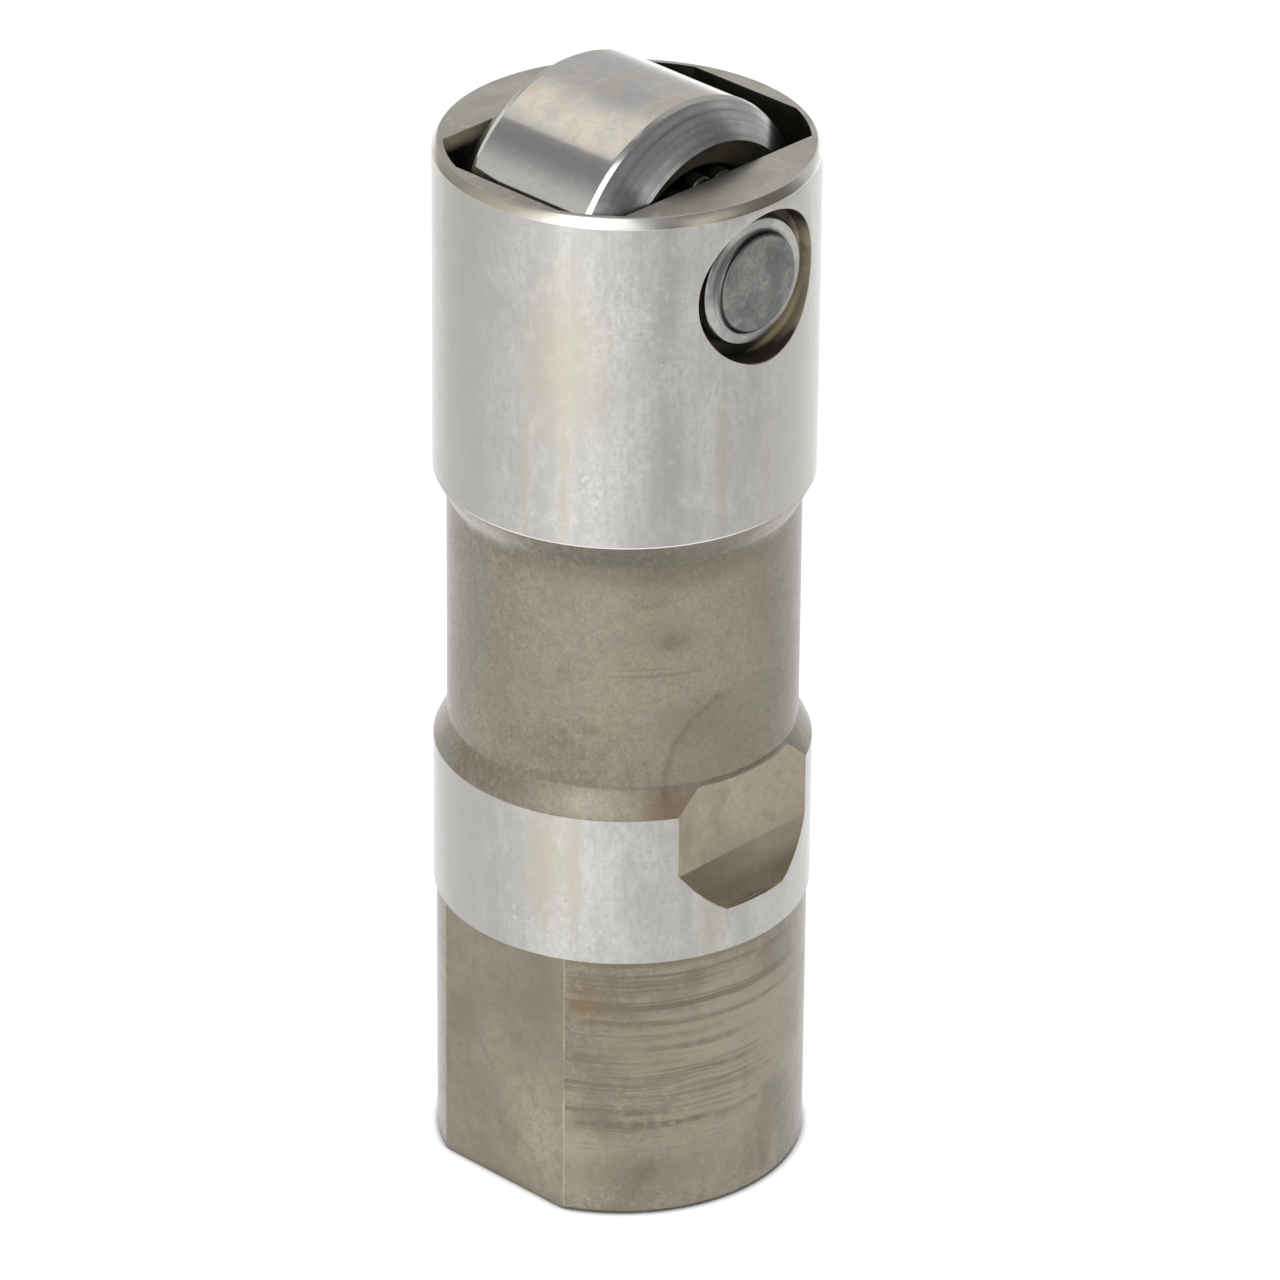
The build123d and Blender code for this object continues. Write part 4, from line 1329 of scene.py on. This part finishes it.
class LIFTER_OT_body(bpy.types.Operator):
    """Models the one-piece lifter body."""

    bl_idname = "lifter.body"
    bl_label = "Body"

    def execute(self, context):
        sizes, finish = context.scene.lifter_body, context.scene.lifter_finish
        axle_height = context.scene.lifter_roller.axis_height
        piece = turned("body_shell", body_profile(sizes))
        cut(piece, roller_slot(sizes))
        cut(piece, cross_hole(sizes, axle_height))
        cut(piece, band_notch(sizes))
        for cutter in guide_flats(sizes):
            cut(piece, cutter)
        cut(piece, feed_hole(sizes))
        finish_mesh(piece, CUT_JOIN_DISTANCE)
        dress(
            piece,
            ground_steel(finish),
            worn_and_glinting_edge(finish),
            neck_steel(finish),
            lower_steel(finish),
            milled_steel(finish, "Guide flat steel", 0.98),
            milled_steel(finish, "Notch steel", 1.25),
            slot_steel(finish),
            end_steel(finish),
            inner_steel(finish, "Bore steel", 0.8),
            rim_steel(finish),
            pocket_steel(finish),
        )
        soften_edges(piece, sizes)
        shade(piece)
        finish_body(piece, sizes, axle_height)
        hand_over(piece, "body", "body_steel", "lifter_body")
        return {"FINISHED"}


class LIFTER_OT_roller(bpy.types.Operator):
    """Models the cam roller with its ground tread, bevelled sides and recessed hub."""

    bl_idname = "lifter.roller"
    bl_label = "Cam roller"

    def execute(self, context):
        s, finish = context.scene.lifter_roller, context.scene.lifter_finish
        recess_floor = s.hub_half - s.recess_depth
        half = [
            (s.race_radius, recess_floor - s.race_chamfer),
            (s.race_radius + s.race_chamfer, recess_floor),
            (s.hub_radius - s.recess_depth / 4, recess_floor),
            (s.hub_radius, s.hub_half),
            (s.radius - s.edge_drop, s.edge_half),
            (s.radius, s.tread_half),
        ]
        profile = eased(mirrored_profile(half), ROLLER_EASE)
        piece = turned("cam_roller", profile, closed=True)
        along_axle(piece, s.axis_height)
        shade(piece)
        dress(piece, tread_steel(finish), roller_side_steel(finish), roller_edge_steel(finish), recess_steel(finish))
        tread, side, edge, recess = range(4)
        for face in piece.data.polygons:
            radius = math.hypot(face.center.x, face.center.z - s.axis_height)
            if radius > s.radius - HAIR / 2:
                face.material_index = tread
            elif radius > s.radius - s.edge_drop - HAIR:
                face.material_index = edge
            else:
                face.material_index = recess if radius < s.hub_radius - HAIR else side
        hand_over(piece, "roller", "roller_steel", "roller_wheel")
        return {"FINISHED"}


class LIFTER_OT_axle(bpy.types.Operator):
    """Models the axle with its staked ends."""

    bl_idname = "lifter.axle"
    bl_label = "Axle"

    def execute(self, context):
        s, finish = context.scene.lifter_axle, context.scene.lifter_finish
        height = context.scene.lifter_roller.axis_height
        bead_top = s.half_length - s.core_rise
        hollow = []
        for step in range(HOLLOW_STEPS + 1):
            angle = math.radians(90 * step / HOLLOW_STEPS)
            hollow.append((
                s.core_radius + s.hollow_radius * (1 - math.cos(angle)),
                bead_top + s.hollow_radius * (1 - math.sin(angle)),
            ))
        half = [
            (s.core_radius / 2, s.half_length),
            (s.core_radius - s.core_round, s.half_length),
            (s.core_radius, s.half_length - s.core_round),
            *hollow,
            (s.bead_radius - s.bead_round, bead_top),
            (s.bead_radius, bead_top - s.bead_round),
            (s.bead_radius, bead_top - s.bead_length),
            (s.radius, bead_top - s.bead_length - (s.bead_radius - s.radius)),
        ]
        profile = eased(mirrored_profile(half), AXLE_EASE)
        piece = turned("staked_axle", profile)
        along_axle(piece, height)
        shade(piece)
        dress(piece, axle_steel(finish), axle_bead_steel(finish))
        core, bead = range(2)
        for face in piece.data.polygons:
            radius = math.hypot(face.center.x, face.center.z - height)
            face.material_index = bead if radius > s.core_radius - HAIR else core
        hand_over(piece, "body", "axle_steel", "axle_pin")
        return {"FINISHED"}


class LIFTER_OT_needles(bpy.types.Operator):
    """Models one needle roller and copies it round the axle."""

    bl_idname = "lifter.needles"
    bl_label = "Needle rollers"

    def execute(self, context):
        s = context.scene.lifter_roller
        end_radius = s.needle_radius - s.needle_end
        half = [
            (end_radius / 2, s.needle_half),
            (end_radius, s.needle_half),
            (s.needle_radius, s.needle_half - s.needle_end),
        ]
        profile = eased(mirrored_profile(half), NEEDLE_EASE)
        pattern = turned("needle_pattern", profile, segments=NEEDLE_SEGMENTS)
        shade(pattern)
        # Painted shade: the needles are darkened to 0.22 of the inner steel, as they stand in the recess's shade.
        dress(pattern, inner_steel(context.scene.lifter_finish, "Needle steel", 0.22))
        for index in range(s.needle_count):
            angle = s.first_angle + 2 * math.pi * index / s.needle_count
            select_only(pattern)
            bpy.ops.object.duplicate(linked=False)
            needle = bpy.context.object
            needle.name = f"needle_roller_{index + 1:02d}"
            needle.rotation_euler = (math.radians(90), 0, 0)
            across, up = s.pitch_radius * math.cos(angle), s.pitch_radius * math.sin(angle)
            needle.location = (across, 0, s.axis_height + up)
            place(needle)
            hand_over(needle, "needles", "needle_steel", f"needle_{index + 1:02d}")
        bpy.data.objects.remove(pattern)
        return {"FINISHED"}


class LIFTER_OT_seat(bpy.types.Operator):
    """Models the pushrod seat with its ball socket."""

    bl_idname = "lifter.seat"
    bl_label = "Pushrod seat"

    def execute(self, context):
        s = context.scene.lifter_seat
        socket_centre = s.face + s.socket_depth - s.socket_radius
        socket_low = math.asin((s.face + s.lead_depth - socket_centre) / s.socket_radius)
        socket_high = math.acos(s.oil_radius / s.socket_radius)
        socket = []
        for step in range(SOCKET_STEPS + 1):
            angle = socket_high + (socket_low - socket_high) * step / SOCKET_STEPS
            socket.append((s.socket_radius * math.cos(angle), socket_centre + s.socket_radius * math.sin(angle)))
        pocket_floor = s.end - s.pocket_depth
        profile = [(s.oil_radius, pocket_floor)] + socket + [
            (socket[-1][0] + s.lead_width, s.face),
            (s.radius - s.chamfer, s.face),
            (s.radius, s.face + s.chamfer),
            (s.radius, s.end),
            (s.pocket_radius, s.end),
            (s.pocket_radius, pocket_floor),
        ]
        piece = turned("pushrod_cup", profile, closed=True)
        shade(piece)
        dress(piece, inner_steel(context.scene.lifter_finish, "Pushrod cup steel"))
        hand_over(piece, "hydraulic_set", "seat_steel", "pushrod_seat")
        return {"FINISHED"}


class LIFTER_OT_ring(bpy.types.Operator):
    """Models the open wire ring at the mouth of the bore."""

    bl_idname = "lifter.ring"
    bl_label = "Retaining ring"

    def execute(self, context):
        s = context.scene.lifter_seat
        height = context.scene.lifter_body.ring_height
        piece = wire_section("mouth_ring", s.ring_wire, s.ring_centre, height)
        edit(piece)
        select_all()
        bpy.ops.mesh.spin(
            steps=SEGMENTS // 2, angle=2 * math.pi - s.ring_opening, center=(0, 0, height), axis=(0, 0, 1)
        )
        close_ends(piece)
        piece.rotation_euler = (0, 0, s.ring_opening / 2)
        place(piece)
        edit(piece, "EDGE")
        bpy.ops.mesh.edges_select_sharp(sharpness=RING_END_ANGLE)
        bpy.ops.mesh.bevel(offset=s.ring_wire / 5, segments=3, affect="EDGES")
        leave_edit()
        shade(piece)
        dress(piece, inner_steel(context.scene.lifter_finish, "Ring steel", 0.7))
        hand_over(piece, "body", "ring_steel", "retaining_ring")
        return {"FINISHED"}


class LIFTER_OT_springs(bpy.types.Operator):
    """Models the return spring and the check ball's spring."""

    bl_idname = "lifter.springs"
    bl_label = "Springs"

    def execute(self, context):
        s = context.scene.lifter_spring
        low, high = SPRING_LOW.z, SPRING_HIGH.z
        piece = coil("return_coil", s.wire, SPRING_HIGH.x - s.wire, low, high, s.turns)
        grind_ends(piece, low, high)
        shade(piece)
        dress(piece, inner_steel(context.scene.lifter_finish, "Spring steel", 0.8))
        hand_over(piece, "body", "spring_steel", "plunger_spring")
        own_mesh(piece)

        low, high = CHECK_SPRING_LOW.z, CHECK_SPRING_HIGH.z
        radius = CHECK_SPRING_HIGH.x - s.check_wire
        small = coil("check_coil", s.check_wire, radius, low + s.check_wire, high - s.check_wire, s.check_turns)
        shade(small)
        dress(small, piece.data.materials[0])
        hand_over(small, "hydraulic_set", "spring_steel", "check_ball_spring")
        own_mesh(small)
        return {"FINISHED"}


class LIFTER_OT_stage(bpy.types.Operator):
    """Sets up the floor, the soft studio light and the photograph's camera."""

    bl_idname = "lifter.stage"
    bl_label = "Stage"

    def execute(self, context):
        scene = context.scene
        bpy.ops.object.select_all(action="DESELECT")
        bpy.ops.mesh.primitive_plane_add(size=FLOOR_SIZE, location=(0, 0, -FLOOR_GAP))
        floor = bpy.context.object
        floor.name = "studio_floor"
        dress(floor, floor_material())

        scene.world = studio_world()
        scene.view_settings.view_transform = "Standard"

        azimuth, elevation, roll = (math.radians(value) for value in CAMERA_TURN)
        away = Vector(
            (math.sin(azimuth) * math.cos(elevation), -math.cos(azimuth) * math.cos(elevation), math.sin(elevation))
        )
        right = Vector((math.cos(azimuth), math.sin(azimuth), 0))
        up = away.cross(right)
        target = right * CAMERA_TARGET[0] + Vector((0, 0, CAMERA_TARGET[1]))
        axes = (
            right * math.cos(roll) + up * math.sin(roll),
            up * math.cos(roll) - right * math.sin(roll),
            away,
        )
        lens = bpy.data.cameras.new("Photo camera")
        lens.sensor_width = CAMERA_SENSOR
        lens.lens = CAMERA_LENS
        camera = bpy.data.objects.new("Photo camera", lens)
        camera.matrix_world = Matrix.Translation(target + away * CAMERA_DISTANCE) @ (
            Matrix(axes).transposed().to_4x4()
        )
        scene.collection.objects.link(camera)
        scene.camera = camera
        return {"FINISHED"}


class LIFTER_PT_panel(bpy.types.Panel):
    """Lists the lifter's operators."""

    bl_idname = "LIFTER_PT_panel"
    bl_label = "Lifter"
    bl_space_type = "VIEW_3D"
    bl_region_type = "UI"
    bl_category = "Lifter"

    def draw(self, context):
        for operator in OPERATORS:
            self.layout.operator(operator.bl_idname)


SIZE_GROUPS = {
    "lifter_body": LifterBodySizes,
    "lifter_roller": LifterRollerSizes,
    "lifter_axle": LifterAxleSizes,
    "lifter_seat": LifterSeatSizes,
    "lifter_spring": LifterSpringSizes,
    "lifter_finish": LifterFinish,
}
OPERATORS = (
    LIFTER_OT_finishes,
    LIFTER_OT_body,
    LIFTER_OT_roller,
    LIFTER_OT_axle,
    LIFTER_OT_needles,
    LIFTER_OT_seat,
    LIFTER_OT_ring,
    LIFTER_OT_springs,
    LIFTER_OT_stage,
)


def register():
    """Registers the sizes, the colours, the operators and the panel."""
    for group in SIZE_GROUPS.values():
        bpy.utils.register_class(group)
    for name, group in SIZE_GROUPS.items():
        setattr(bpy.types.Scene, name, bpy.props.PointerProperty(type=group))
    for operator in OPERATORS:
        bpy.utils.register_class(operator)
    bpy.utils.register_class(LIFTER_PT_panel)


def unregister():
    """Takes back what register did, in reverse order."""
    bpy.utils.unregister_class(LIFTER_PT_panel)
    for operator in reversed(OPERATORS):
        bpy.utils.unregister_class(operator)
    for name in SIZE_GROUPS:
        delattr(bpy.types.Scene, name)
    for group in reversed(list(SIZE_GROUPS.values())):
        bpy.utils.unregister_class(group)


def main():
    """Builds every piece and the stage."""
    register()
    bpy.ops.lifter.finishes()
    bpy.ops.lifter.body()
    bpy.ops.lifter.roller()
    bpy.ops.lifter.axle()
    bpy.ops.lifter.needles()
    bpy.ops.lifter.seat()
    bpy.ops.lifter.ring()
    bpy.ops.lifter.springs()
    bpy.ops.lifter.stage()


if __name__ == "__main__":
    main()
